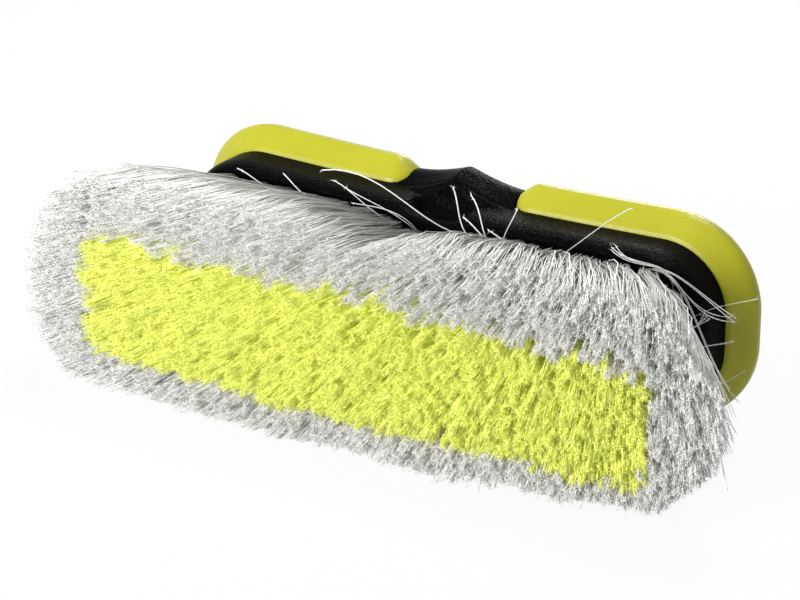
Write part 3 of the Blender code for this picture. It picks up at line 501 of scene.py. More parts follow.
def block_offset(x, y, sizes):
    """How far the block's skin stands out from its outline.

    It is the wall, with a seat for the bumpers. Between them it is the wall, the bumper's section at a share
    and the hump's ridge, the power 1.6 of the distance to its foot, less the scoop, a flat-floored hollow.
    """
    along = np.abs(x)
    reach = bumper_reach(y, sizes) * step_up(y, BUMPER_FRONT_Y - 0.0002, BUMPER_FRONT_Y + 0.0004)
    reach = reach * (1 - step_up(y, BUMPER_BACK_Y, BUMPER_BACK_Y + 0.0010))
    infill = BUMPER_END_SHARE * reach * (1 - step_up(along, BUMPER_GAP_HALF, BUMPER_SHOULDER_HALF))
    seated = (along > BUMPER_GAP_HALF + 0.0001) & (y > bumper_front(x)) & (y < CROWN_Y - 0.0008)
    hump = sizes.hump_rise * smooth_table(
        (SCOOP_TOP_Y, BROW_Y, BUMPER_FRONT_Y, -0.0061, -0.0027, 0.0002, 0.0040, BUMPER_BACK_Y, CROWN_Y),
        (0.0, 1.15, 1.32, 1.28, 1.12, 1.0, 0.94, 0.66, 0.0), y)
    ridge = np.maximum(1 - along / HUMP_HALF, 0.0) ** 1.6
    cut = sizes.scoop_depth * smooth_table(
        (FACE_Y, FACE_Y + 0.0090, SCOOP_TOP_Y - 0.0060, SCOOP_TOP_Y - 0.0020, SCOOP_TOP_Y, BROW_Y),
        (0.38, 0.80, 1.0, 0.62, 0.20, 0.0), y)
    half = SCOOP_HALF * smooth_table((FACE_Y, SCOOP_TOP_Y - 0.0060, SCOOP_TOP_Y - 0.0020, SCOOP_TOP_Y),
                                     (1.0, 0.93, 0.72, 0.48), y)
    hollow = (1 - np.minimum(along / half, 1.0) ** 4) ** 1.5
    out = block_wall(y) + infill + hump * ridge - cut * hollow
    return np.where(seated, block_wall(y) - BUMPER_SEAT, out)


def backing_edge(x, sizes):
    """Half-width of the backing at x, along the long sides, with the room that the scoops take."""
    inset = RIM_WALL + GAP + SCOOP_CLEARANCE * bell(x, BUMPER_GAP_HALF)
    return (sizes.half_width - inset) * waist_share(x, sizes)


def shell_mesh(sizes):
    """The hollow block: outer rings from face to crown, then chamber rings back to the face."""
    ring = Outline(sizes, long_side_stations(sizes))
    nose = FACE_Y + BULLNOSE * (1 - np.cos(np.linspace(0.0, math.pi / 2, 12)))
    sides = np.linspace(FACE_Y + BULLNOSE, SCOOP_TOP_Y - 0.0024, 12)[1:]
    brow = np.linspace(SCOOP_TOP_Y - 0.0018, BROW_Y + 0.0006, 12)
    back = np.linspace(BROW_Y + 0.0014, BUMPER_BACK_Y, 18)
    crown = np.linspace(BUMPER_BACK_Y + 0.0003, CROWN_Y, 12)
    front = BUMPER_FRONT_Y + np.array((-0.0001, 0.0002))
    levels = np.unique(np.concatenate((nose, sides, brow, back, crown, front)))[:, None]
    outer = ring.placed(block_offset(ring.x[None, :], levels, sizes), levels)
    inner = []
    for level, inset in ((CHAMBER_TOP_Y, WALL_INNER + CHAMBER_SLOPE),
                         (CHAMBER_TOP_Y - CHAMBER_SLOPE, WALL_INNER + 0.25 * CHAMBER_SLOPE),
                         (LEDGE_Y, WALL_INNER), (LEDGE_Y, RIM_WALL), (FACE_Y, RIM_WALL)):
        inner.append(ring.placed(-inset - SCOOP_CLEARANCE * bell(ring.x, BUMPER_GAP_HALF), level))
    around = len(ring.x)
    outer_rows, inner_rows = len(outer), len(inner)
    points = np.concatenate((outer, np.stack(inner))).reshape(-1, 3)
    first_inner = outer_rows * around
    high = np.arange(around)
    low = high + first_inner + (inner_rows - 1) * around
    bridge = np.stack((low, np.roll(low, -1), np.roll(high, -1), high), axis=-1)
    quads = np.concatenate((ring_quads(outer_rows, around), ring_quads(inner_rows, around) + first_inner,
                            bridge))
    rims = (high + (outer_rows - 1) * around, (high + first_inner)[::-1])
    return tidy_normals(mesh_from("shell", points, quads, rims=rims))


def neck_mesh():
    """The neck: a flare that leaves the crown level and bends into a tube that tapers along its axis."""
    angle = np.linspace(0.0, math.tau, 96, endpoint=False)
    axis = np.array((0.0, math.cos(NECK_LEAN), -math.sin(NECK_LEAN)))
    across = np.stack((np.cos(angle), np.sin(angle) * math.sin(NECK_LEAN),
                       np.sin(angle) * math.cos(NECK_LEAN)), -1)
    foot_z = -CROWN_Y * math.tan(NECK_LEAN) + NECK_FOOT_Z * np.sin(angle)
    crown_y = np.interp(np.abs(foot_z), (0.0097, 0.0192, 0.0272, 0.0337), (0.0120, 0.0110, 0.0095, 0.0075))
    foot = np.stack((NECK_FOOT_X * np.cos(angle), crown_y - 0.0004, foot_z), -1)
    start = axis * NECK_FAIRING_S + across * NECK_FAIRING_R
    inward = (start - foot) * np.array((1.0, 0.0, 1.0))
    share = np.linspace(0.0, 1.0, 18)[:, None, None]
    bend = ((2 * share ** 3 - 3 * share ** 2 + 1) * foot
            + (share ** 3 - 2 * share ** 2 + share) * inward * 1.35
            + (3 * share ** 2 - 2 * share ** 3) * start + (share ** 3 - share ** 2) * axis * 0.0150)
    sunk = foot - np.array((0.0, 0.0016, 0.0))
    heights = np.array((0.0280, 0.0320, NECK_END_S - 0.0012, NECK_END_S - 0.0003, NECK_END_S))
    radii = np.array((0.0155, 0.0149, NECK_END_R, NECK_END_R - 0.0004, NECK_END_R - 0.0012))
    tube = axis * heights[:, None, None] + across * radii[:, None, None]
    return lofted("neck", np.concatenate((sunk[None], bend, tube)))


def make_block(sizes, finish):
    """The shell with its screw posts and neck joined on, and the wells, bore and pin hole cut."""
    to_back = Matrix.Rotation(math.radians(-90), 4, "X")
    well_profile = (
        (0.0001, CROWN_Y + 0.01), (WELL_R + 0.0006, CROWN_Y + 0.01), (WELL_R + 0.0006, CROWN_Y - 0.0008),
        (WELL_R, CROWN_Y - 0.0016), (WELL_R, WELL_FLOOR_Y), (SHANK_R, WELL_FLOOR_Y), (SHANK_R, SHANK_END_Y),
        (0.0001, SHANK_END_Y))
    posts, wells = [], []
    for x, z in WELL_PLACES:
        posts.append(rod("post", POST_R, POST_FRONT_Y, CHAMBER_TOP_Y + 0.0015, 32))
        wells.append(turned("well", well_profile, 40))
        for mesh in (posts[-1], wells[-1]):
            mesh.transform(Matrix.Translation((x, 0, z)) @ to_back)
    bore = rod("bore", NECK_BORE_R, -0.002, NECK_END_S + 0.01, 72)
    bore.transform(neck_frame())
    hole = rod("pin_hole", PIN_R, -PIN_HALF, PIN_HALF, 24)
    hole.transform(neck_frame() @ Matrix.Translation((0, -PIN_BESIDE, PIN_S))
                   @ Matrix.Rotation(math.pi / 2, 4, "Y"))
    mesh = combined("block", shell_mesh(sizes), (
        (joined("posts", posts), "UNION"), (neck_mesh(), "UNION"), (joined("wells", wells), "DIFFERENCE"),
        (bore, "DIFFERENCE"), (hole, "DIFFERENCE")))
    add_piece("block", mesh, finish, ("housing",), smooth_angle=38.0)


def make_bumper(name, side, sizes, finish):
    """A bumper: its section carried round one end of the outline.

    Towards its open ends the reach falls to a share, and its front edge rounds over by a quarter circle.
    """
    facet = BUMPER_SHOULDER_HALF - BUMPER_GAP_HALF
    ends = BUMPER_GAP_HALF + GAP + facet * np.array(BUMPER_END_STATIONS)
    far = np.linspace(ends[-1] + 0.0012, sizes.half_length - sizes.corner, 50)
    ring = Outline(sizes, np.concatenate((-far[::-1], -ends[::-1], ends, far)), corner_steps=26)
    kept = np.nonzero(ring.x * side > BUMPER_GAP_HALF + 0.5 * GAP)[0]
    stretches = np.split(kept, np.nonzero(np.diff(kept) > 1)[0] + 1)
    ring.pick(np.concatenate(stretches[::-1]))
    along = (np.abs(ring.x) - BUMPER_GAP_HALF) / facet
    share = smooth_table((0.0, 0.4, 0.75, 1.0), (0.0, 0.54, 0.90, 1.0), along)
    share = BUMPER_END_SHARE + (1 - BUMPER_END_SHARE) * share
    front = bumper_front(ring.x) + GAP
    across = np.linspace(0.0, 1.0, 34)[:, None]
    level = front + (BUMPER_BACK_Y - front) * across
    rounding = np.sqrt(1 - (1 - np.clip((level - front) / BUMPER_END_BLUNT, 0.0, 1.0)) ** 2)
    blunt = step_up(bumper_front(ring.x) - BUMPER_FRONT_Y, 0.0, 0.0030)
    reach = bumper_reach(level, sizes) * (1 - blunt * (1 - rounding))
    inner = GAP - BUMPER_SEAT
    out = inner + (np.maximum(reach, 0.0004) - inner) * share * np.maximum(step_up(across, 0.0, 0.03), 0.2)
    skin = ring.placed(out, level)
    seat_level = front + (BUMPER_BACK_Y - front) * np.linspace(1.0, 0.0, 3)[:, None]
    seat = ring.placed(np.full_like(seat_level, inner), seat_level)
    section = np.concatenate((skin, seat)).transpose(1, 0, 2)
    label = f"lime_{name}"
    add_piece(label, lofted(label, section), finish, (name,), smooth_angle=50.0)


def nut_radius(radius, height, angle):
    """The nut's radius, which waves in at the grip lobes outside and out along a helical thread inside."""
    wave = np.clip(0.5 - 0.5 * np.cos(NUT_LOBES * angle), 0.0, 1.0) ** 0.7
    outside = radius > NUT_SOCKET_R + 0.0020
    thread = 0.5 + 0.5 * np.cos(math.tau * height / THREAD_PITCH - angle)
    threaded = ~outside & (height > NUT_LIP_END_S + 0.0016) & (height < NUT_END_S - 0.0016)
    return np.where(outside, radius - NUT_LOBE_DEPTH * wave,
                    np.where(threaded, radius + THREAD_DEPTH * thread, radius))


def make_nut(finish):
    """The coupling nut, turned round the neck's axis."""
    grip = np.linspace(NUT_START_S + NUT_EDGE, NUT_END_S - NUT_EDGE, 8)
    socket = np.linspace(NUT_END_S - 0.0010, NUT_LIP_END_S, 64)
    profile = [(NUT_LIP_R, NUT_START_S), (NUT_OUTER_R - NUT_EDGE, NUT_START_S)]
    profile += [(NUT_OUTER_R, height) for height in grip]
    profile += [(NUT_OUTER_R - NUT_EDGE, NUT_END_S), (NUT_SOCKET_R + 0.0008, NUT_END_S)]
    profile += [(NUT_SOCKET_R, height) for height in socket]
    profile += [(NUT_LIP_R, NUT_LIP_END_S)]
    mesh = turned("hose_nut", profile, 144, nut_radius)
    mesh.transform(neck_frame())
    add_piece("hose_nut", mesh, finish, ("coupling_nut",), body="nut", smooth_angle=40.0)


def make_backing(sizes, finish):
    """The plate that the tufts stand in, flush with the bristle face."""
    ring = Outline(sizes, long_side_stations(sizes, 0.0030))
    inset = -(RIM_WALL + GAP) - SCOOP_CLEARANCE * bell(ring.x, BUMPER_GAP_HALF)
    levels = np.array((FACE_Y, FACE_Y + BACKING_THICK))[:, None]
    plate = lofted("tuft_plate", ring.placed(inset[None, :], levels))
    add_piece("tuft_plate", plate, finish, smooth_angle=30.0)


def tuft_layout(bristles, sizes):
    """Tuft centres on rings parallel to the backing's edge; each ring is shifted half a pitch from the last.

    A ring is eight stages, four times a straight and a quarter turn, and the last four are the first turned
    by half a circle.
    """
    centres = []
    depth = 0.0026
    while depth < sizes.half_width - RIM_WALL:
        half_x = sizes.half_length - RIM_WALL - depth
        half_z = sizes.half_width - RIM_WALL - depth
        corner = max(min(sizes.corner - RIM_WALL - depth, half_z), 0.0005)
        straight_x, straight_z = half_x - corner, max(half_z - corner, 0.0)
        turn = corner * math.pi / 2
        lengths = np.tile((2 * straight_x, turn, 2 * straight_z, turn), 2)
        total = lengths.sum()
        count = max(int(round(total / bristles.tuft_pitch)), 1)
        along = (np.arange(count) + 0.5 * (len(centres) % 2)) * total / count
        ends = np.cumsum(lengths)
        stage = np.searchsorted(ends, along, side="right")
        local = along - (ends - lengths)[stage]
        angle = local / lengths[stage] * math.pi / 2
        quarter = [stage % 4 == number for number in range(4)]
        x = np.select(quarter, [-straight_x + local, straight_x + corner * np.sin(angle), half_x + 0 * local,
                                straight_x + corner * np.cos(angle)])
        z = np.select(quarter, [half_z + 0 * local, straight_z + corner * np.cos(angle), straight_z - local,
                                -straight_z - corner * np.sin(angle)])
        flip = np.where(stage >= 4, -1.0, 1.0)
        x, z = x * flip, z * flip
        reach = backing_edge(x, sizes) / (sizes.half_width - RIM_WALL)
        centres.append(np.stack((x, z * np.where(np.abs(x) < straight_x, reach, 1.0)), axis=-1))
        depth += bristles.row_pitch
    return np.concatenate(centres)


def tip_place(x, z, bristles, sizes):
    """Where a bristle rooted at (x, z) ends.

    The tips fan out along X by a factor that falls with the square of the share of the half length. Along Z
    they follow a parabola from the lower edge of the face, over its sagging middle, to the upper edge. Both
    upper corners and the lower right one draw in. With the fourth power of the share, bristles end shorter
    towards the ends and the upper edge, and longer towards the lower edge.
    """
    full = sizes.half_width - RIM_WALL - 0.0011
    share_z = z / full * (1 + (full / (backing_edge(x, sizes) + 0.0012) - 1) * np.abs(z / full) ** 4)
    share_x = x / (sizes.half_length - RIM_WALL - 0.0012)
    low = bristles.fringe_low + bristles.fringe_rise * step_up(x, 0.005, 0.070)
    high, middle = bristles.fringe_high, -bristles.sag
    upper = np.maximum(share_z, 0.0) ** 4 * np.abs(share_x) ** 6
    lower = step_up(-share_z, -0.3, 1.0) * np.maximum(share_x, 0.0) ** 6
    fan = FAN - np.where(x < 0, *FAN_LOSS) * share_x ** 2 - CORNER_DRAW * upper - CORNER_DRAW * lower
    tip_z = middle + (high - low) / 2 * share_z + ((high + low) / 2 - middle) * share_z ** 2
    tip_z = tip_z - CORNER_SHIFT * upper + CORNER_SHIFT * lower
    edge = np.maximum(np.abs(share_x) ** 4, np.maximum(share_z, 0.0) ** 4)
    longer = (0.0020 + 0.0030 * step_up(-x, 0.020, 0.080)) * np.maximum(-share_z, 0.0) ** 4
    return np.stack((x * fan, FACE_Y - bristles.trim + bristles.crown * edge - longer, tip_z), axis=-1)


def strand_places(bristles, sizes, rng):
    """Bristle places on a close staggered grid over the backing, each nudged at random."""
    pitch = bristles.pitch
    half_x, half_z = sizes.half_length - RIM_WALL - 0.0012, sizes.half_width - RIM_WALL - 0.0008
    columns = np.arange(-half_x, half_x, pitch)
    rows = np.arange(-half_z, half_z, pitch * 0.866)
    x, z = np.meshgrid(columns, rows)
    x = x + 0.5 * pitch * (np.arange(len(rows)) % 2)[:, None]
    places = np.stack((x.ravel(), z.ravel()), axis=-1)
    places = places + rng.normal(0.0, 0.25 * pitch, places.shape)
    corner = sizes.corner - RIM_WALL
    over_x = np.maximum(np.abs(places[:, 0]) - (half_x - corner), 0.0)
    over_z = np.maximum(np.abs(places[:, 1]) - (half_z - corner), 0.0)
    edge = backing_edge(places[:, 0], sizes) + 0.0012
    return places[(np.hypot(over_x, over_z) < corner) & (np.abs(places[:, 1]) < edge)]


def clumps_of(places, bristles, rng):
    """The middle of the staggered cell that each place falls in, and three random numbers for each cell."""
    pitch = bristles.clump_pitch
    row = np.round(places[:, 1] / (pitch * 0.866)).astype(int)
    shift = 0.5 * (row % 2)
    column = np.round(places[:, 0] / pitch - shift).astype(int)
    middle = np.stack(((column + shift) * pitch, row * pitch * 0.866), axis=-1)
    table = rng.normal(0.0, 1.0, (np.ptp(row) + 1, np.ptp(column) + 1, 3))
    return middle, table[row - row.min(), column - column.min()]


def parted(places, bristles, rng):
    """Places pushed out of small gaps at random spots, the more the nearer they lie to a gap's middle."""
    spots = rng.uniform((-0.125, -0.031), (0.125, 0.031), (bristles.gaps, 2))
    radius = 0.0006 + 0.0020 * rng.random(bristles.gaps) ** 2
    for spot, reach in zip(spots, radius):
        away = places - spot
        distance = np.hypot(away[:, 0], away[:, 1])
        near = distance < reach
        push = 0.85 * (reach - distance[near]) / np.maximum(distance[near], 0.00005)
        places[near] += away[near] * push[:, None]
    return places


def bristle_groups(roots, lime_half=LIME_HALF_X):
    """The frame's bristle node that each root belongs to, by the slices of the backing."""
    x, z = roots[:, 0], roots[:, 1]
    column = np.where(x < -SLICE_HALF_X, "left", np.where(x > SLICE_HALF_X, "right", "middle"))
    names = np.char.add("lime_bristles_", column)
    names = np.where(z > LIME_HALF_Z, np.char.add("grey_bristles_top_", column), names)
    names = np.where(z < -LIME_HALF_Z, np.char.add("grey_bristles_bottom_", column), names)
    names = np.where(x < -lime_half, "grey_bristles_left_end", names)
    return np.where(x > lime_half, "grey_bristles_right_end", names)


def tuft_of(places, tufts, kinds, clump, clump_sway, bristles, rng):
    """The number of the tuft that each bristle stands in.

    A clump goes to the nearest tuft of its own kind, after a small wave that makes the fields' edges uneven.
    Then each bristle may cross to another near tuft of the same kind.
    """
    wave = 0.0010 * (np.sin(clump[:, ::-1] * (520.0, 330.0) + (0.4, 1.1))
                     * np.cos(clump[:, ::-1] * (210.0, 137.0)))
    seat = clump + clump_sway[:, ::2] * 0.0008 + wave
    apart = bristle_groups(seat, CLUMP_HALF_X)[:, None] != kinds[None]
    owner = np.argmin((((seat[:, None] - tufts[None]) * (0.5, 1.0)) ** 2).sum(-1) + apart, axis=1)
    crossed = places + rng.normal(0.0, 1.0, places.shape) * (bristles.crossing, 0.5 * bristles.crossing)
    other = np.argmin((((crossed[:, None] - tufts[None]) * (0.65, 1.0)) ** 2).sum(-1), axis=1)
    return np.where(kinds[owner] == kinds[other], other, owner)


def own_sway(share, rng):
    """How far each tip strays by itself, and which bristles at the upper side and both ends are loose."""
    count = len(share)
    along, across = np.abs(share).T
    edge = np.maximum(along ** 16, across ** 8)[:, None]
    own = rng.normal(0.0, 1.0, (count, 3)) * OWN_SWAY * (1 + EDGE_SWAY * edge)
    loose = (rng.random(count) < LOOSE_SHARE) & ((share[:, 1] > 0.80) | (along > 0.95))
    own[rng.random(count) < WILD_SHARE] *= WILD_SWAY
    own[loose & (along < 0.9)] *= LOOSE_SWAY
    return own, loose


def strand_roots(places, tuft, rng):
    """Roots gathered in their tufts, each shifted by a share of its offset and within a small circle."""
    count = len(places)
    swing = math.tau * rng.random(count)
    size = TUFT_HOLE_R * np.sqrt(rng.random(count))
    offset = np.clip(places - tuft, -ROOT_RANGE, ROOT_RANGE) * ROOT_SHARE
    return np.stack((tuft[:, 0] + offset[:, 0] + size * np.cos(swing), np.full(count, ROOT_Y),
                     tuft[:, 1] + offset[:, 1] + size * np.sin(swing)), axis=-1)


def strand_curves(root, tip, share, loose, rng):
    """The four control points of each bristle's cubic, and its heading from root to tip.

    A bristle leaves the block between its heading and straight ahead, and arrives turned from its heading
    towards straight ahead. The outer rows turn less, the upper rows bulge up, and loose ones wobble more.
    """
    along, across = np.abs(share).T
    upper = np.maximum(share[:, 1], 0.0) ** 4
    outer = np.maximum(along ** 8, across ** 6)
    line = tip - root
    length = np.linalg.norm(line, axis=1, keepdims=True)
    heading = line / length
    spread = 0.62 + 0.30 * along[:, None] ** 10
    leave = heading * spread + (1 - spread) * np.array((0.0, -1.0, 0.0))
    leave[:, 2] += 0.08 * upper
    leave /= np.linalg.norm(leave, axis=1, keepdims=True)
    wobble = rng.normal(0.0, 1.0, root.shape) * np.where(loose, 0.0017, 0.0010)[:, None]
    wobble[:, 2] += np.where(loose & (along < 0.9), 0.0008, 0.0)
    arrive = heading * np.stack((0.42 + 0.5 * outer, np.ones(len(share)),
                                 0.30 + 0.7 * outer * (upper < 0.1)), axis=-1)
    arrive[:, 2] -= 0.30 * upper
    arrive /= np.linalg.norm(arrive, axis=1, keepdims=True)
    return (root, root + leave * length * HANDLE + wobble * 0.5, tip - arrive * length * HANDLE + wobble,
            tip), heading


def split_ends(tip, heading, rng, tips, length, floor, scatter):
    """Feet near the strands' ends, and points scattered round them, by a share of their length."""
    count = len(tip)
    back = 1.7 * rng.random((count, tips, 1)) ** 1.6 * length
    feet = tip[:, None] - heading[:, None] * back
    ahead = rng.uniform(-0.1, 0.7, (count, tips, 1)) * length
    points = tip[:, None] + heading[:, None] * (ahead - back) + (
        rng.normal(0.0, 1.0, (count, tips, 3)) * np.reshape(scatter, (-1, 1, 1)) * length)
    points[:, :, 2] = np.maximum(points[:, :, 2], floor)
    return np.stack((feet, points), axis=2)


def bezier(controls, share):
    """Points of a cubic with four control points (count, 3) each, at the given shares of its length."""
    a, b, c, d = (item[:, None] for item in controls)
    t = share[None, :, None]
    return (1 - t) ** 3 * a + 3 * (1 - t) ** 2 * t * b + 3 * (1 - t) * t ** 2 * c + t ** 3 * d


def strand_mesh(name, points, radii, forks, shades):
    """Closed three-sided strands, (count, levels, 3), each with thin split ends.

    forks is (count, tips, 2, 3): the foot and the point of each thin four-faced spike near a strand's end.
    """
    count, levels = points.shape[:2]
    axis = points[:, -1] - points[:, 0]
    axis /= np.linalg.norm(axis, axis=1, keepdims=True)
    side_a = np.cross(axis, (0.35, 0.1, 0.93))
    side_a /= np.linalg.norm(side_a, axis=1, keepdims=True)
    side_b = np.cross(axis, side_a)
    angle = math.tau * np.arange(3) / 3
    spokes = side_a[:, None] * np.cos(angle)[:, None] + side_b[:, None] * np.sin(angle)[:, None]
    tube = points[:, :, None] + spokes[:, None] * radii[:, :, None, None]
    per = levels * 3
    base = np.arange(count)[:, None, None] * per
    quads = (ring_quads(levels, 3)[None] + base).reshape(-1, 4)
    caps = np.array(((2, 1, 0), (per - 3, per - 2, per - 1)))
    tips = forks.shape[1]
    feet = forks[:, :, 0, None] + spokes[:, None] * radii[:, -1, None, None, None] * 0.9
    spikes = np.concatenate((feet, forks[:, :, 1, None]), axis=2)
    spike_base = count * per + np.arange(count * tips)[:, None, None] * 4
    sides = np.array(((2, 1, 0), (0, 1, 3), (1, 2, 3), (2, 0, 3)))
    triangles = np.concatenate(((caps[None] + base).reshape(-1, 3),
                                (sides[None] + spike_base).reshape(-1, 3)))
    corners = np.concatenate((tube.reshape(-1, 3), spikes.reshape(-1, 3)))
    mesh = mesh_from(name, corners, quads, triangles)
    along = np.broadcast_to(np.linspace(0.0, 1.0, levels)[None, :, None], (count, levels, 3)).reshape(-1)
    reach = np.concatenate((along, np.ones(count * tips * 4)))
    tone = np.concatenate((np.repeat(shades, per), np.repeat(shades, 4 * tips)))
    for label, values in (("reach", reach), ("tone", tone)):
        attribute = mesh.attributes.new(label, "FLOAT", "POINT")
        attribute.data.foreach_set("value", values.astype(np.float32))
    return mesh


def make_bristles(bristles, sizes, finishes):
    """Every bristle: roots gathered in their tuft, tips spread on the fan in soft clumps, ends split."""
    rng = np.random.default_rng(bristles.seed)
    tufts = tuft_layout(bristles, sizes)
    kinds = bristle_groups(tufts)
    places = strand_places(bristles, sizes, rng)
    clump, clump_sway = clumps_of(places, bristles, rng)
    owner = tuft_of(places, tufts, kinds, clump, clump_sway, bristles, rng)
    inward = parted((1 - bristles.clump_pull) * places + bristles.clump_pull * clump, bristles, rng)
    share = places / (sizes.half_length - RIM_WALL, sizes.half_width - RIM_WALL)
    share_x, share_z = np.abs(share).T
    tip = tip_place(inward[:, 0], inward[:, 1], bristles, sizes)
    tuft_sway = rng.normal(0.0, 1.0, (len(tufts), 3)) * TUFT_SWAY
    own, loose = own_sway(share, rng)
    uneven = rng.normal(0.0, UNEVEN_ENDS, len(tufts))[owner]
    uneven = uneven * (share_x ** 6 + (places[:, 1] < 0) * share_z ** 6)
    tip = (tip + tuft_sway[owner] + uneven[:, None] * (np.sign(places[:, :1]) * (0.7, -0.7, 0.0))
           + clump_sway * CLUMP_SWAY + own)
    tip[:, 2] = np.maximum(tip[:, 2], FLOOR_Z + 0.0012 * rng.random(len(places)))
    root = strand_roots(places, tufts[owner], rng)
    controls, heading = strand_curves(root, tip, share, loose, rng)
    shades = rng.normal(0.0, 0.70, len(places)) + 0.45 * clump_sway[:, 1]
    forks = split_ends(tip, heading, rng, bristles.split, bristles.split_length, FLOOR_Z,
                       0.66 - 0.26 * np.maximum(share_x ** 12, share_z ** 12))
    for name in sorted(set(kinds[owner])):
        kind = name.split("_")[0]
        levels = np.array(STRAND_LEVELS[kind])
        taper = np.interp(levels, (0.0, 0.5, 1.0), (1.15, 1.0, 0.85))
        per_strand = 6 * len(levels) - 4 + 4 * bristles.split
        chosen = np.nonzero(kinds[owner] == name)[0]
        parts = math.ceil(len(chosen) * per_strand / PIECE_TRIANGLES)
        for part, members in enumerate(np.array_split(chosen, parts), 1):
            points = bezier([item[members] for item in controls], levels)
            points[:, 1:, 2] = np.maximum(points[:, 1:, 2], FLOOR_Z)
            radii = bristles.fibre_radius * taper * np.where(loose[members], LOOSE_THICKNESS, 1.0)[:, None]
            label = f"{name}_fibres_{part}"
            mesh = strand_mesh(label, points, radii, forks[members], shades[members])
            add_piece(label, mesh, finishes[kind], (name,))
    return tufts


def photo_place(stage, spot, level):
    """The place, about the block's middle, that shows at this column and row of the photo, at level y."""
    right, up, back = (np.array(axis) for axis in camera_axes(stage))
    focal = focal_pixels(stage)
    ray = right * (spot[0] - BLOCK_SPOT[0]) / focal + up * (BLOCK_SPOT[1] - spot[1]) / focal - back
    eye = back * stage.distance
    return eye + ray * (level - eye[1]) / ray[1]


def make_strays(tufts, stage, bristles, finish):
    """Loose bristles that bend out of their tufts over the block.

    Each is a cubic through its root, start, middle and end, whose steps are the square roots of their
    distances.
    """
    rng = np.random.default_rng(bristles.seed + 1)
    knots = []
    for start, middle, end, level, _ in STRAYS:
        first, second, last = (photo_place(stage, spot, depth) for spot, depth in (
            (start, STRAY_Y), (middle, (STRAY_Y + level) / 2), (end, level)))
        back = (first - second)[[0, 2]]
        behind = first[[0, 2]] + 0.012 * back / np.linalg.norm(back)
        root = tufts[np.argmin(((tufts - behind) ** 2).sum(-1))]
        knots.append(((root[0], ROOT_Y, root[1]), first, second, last))
    knots = np.array(knots)
    strides = np.sqrt(np.linalg.norm(np.diff(knots, axis=1), axis=2))
    at = np.cumsum(np.column_stack((np.zeros(len(knots)), strides)), axis=1) / strides.sum(axis=1)[:, None]
    share = np.linspace(0.0, 1.0, 15)
    points = np.zeros((len(STRAYS), len(share), 3))
    for index in range(4):
        others = np.delete(at, index, axis=1)[:, None]
        weight = np.prod((share[None, :, None] - others) / (at[:, index, None, None] - others), axis=2)
        points += weight[:, :, None] * knots[:, index, None]
    radii = np.array([row[4] for row in STRAYS])[:, None] * np.ones(len(share))
    heading = points[:, -1] - points[:, -2]
    heading /= np.linalg.norm(heading, axis=1, keepdims=True)
    forks = split_ends(points[:, -1], heading, rng, 5, 0.0016, -BLOCK_MIDDLE[2], 0.55)
    mesh = strand_mesh("stray_bristles", points, radii, forks, np.full(len(STRAYS), 1.5))
    add_piece("stray_bristles", mesh, finish)


def fill(tree, made, *inputs, **values):
    """Sets a node's own settings and its inputs, in order or by name with underscores for spaces.

    An input that is given an output is linked to it, and any other value is a constant.
    """
    wanted = []
    for key, value in values.items():
        if hasattr(made, key):
            setattr(made, key, value)
        else:
            wanted.append((made.inputs[key.replace("_", " ")], value))
    for socket, value in [*wanted, *zip(made.inputs, inputs)]:
        if isinstance(value, bpy.types.NodeSocket):
            tree.links.new(value, socket)
        else:
            socket.default_value = value
    return made


def node(tree, kind, *inputs, **values):
    """A new node, with its settings and inputs as fill takes them."""
    return fill(tree, tree.nodes.new(kind), *inputs, **values)


def new_material(name):
    """An empty node material, its tree and its shader."""
    result = bpy.data.materials.new(name)
    result.use_nodes = True
    return result, result.node_tree, result.node_tree.nodes["Principled BSDF"]


def object_place(tree):
    """The output with the object's own coordinates."""
    return node(tree, "ShaderNodeTexCoord").outputs["Object"]


def ramp(tree, source, stops, blend="LINEAR"):
    """A colour ramp on a source output, from positions and their colours or grey values."""
    made = node(tree, "ShaderNodeValToRGB", source)
    elements = made.color_ramp.elements
    made.color_ramp.interpolation = blend
    while len(elements) < len(stops):
        elements.new(0.5)
    for element, (position, tone) in zip(elements, stops):
        element.position = position
        element.color = (*np.broadcast_to(tone, 3), 1.0)
    return made.outputs["Color"]


def scaled(colour, factor):
    """A colour made darker or lighter, at most white."""
    return tuple(min(channel * factor, 1.0) for channel in colour)


def grained_plastic(name, colour, grain=0.00020, scale=620.0, roughness=0.31):
    """Black moulded plastic with a leather grain: dark pits between cells, broken up by fine noise, with
    painted shade in the pits and a painted highlight on the raised grain.
    """
    result, tree, shader = new_material(name)
    place = object_place(tree)
    cells = node(tree, "ShaderNodeTexVoronoi", feature="SMOOTH_F1", Vector=place, Scale=scale,
                 Smoothness=0.4)
    noise = node(tree, "ShaderNodeTexNoise", Vector=place, Scale=scale * 1.8, Detail=3.0).outputs["Fac"]
    domes = ramp(tree, cells.outputs["Distance"], ((0.22, 0.0), (0.52, 1.0)), "EASE")
    height = node(tree, "ShaderNodeMath", noise, 0.35, domes, operation="MULTIPLY_ADD").outputs["Value"]
    bump = node(tree, "ShaderNodeBump", Strength=1.0, Distance=grain, Height=height)
    # The base colour follows the grain's height: painted shade darkens the pits and a painted highlight
    # lightens the raised grain.
    fill(tree, shader, Normal=bump.outputs["Normal"], Specular_IOR_Level=0.012,
         Base_Color=ramp(tree, height, ((0.50, scaled(colour, 0.25)), (1.15, scaled(colour, 1.6)))),
         Roughness=ramp(tree, noise, ((0.3, roughness - 0.08), (0.7, roughness + 0.12))))
    return result


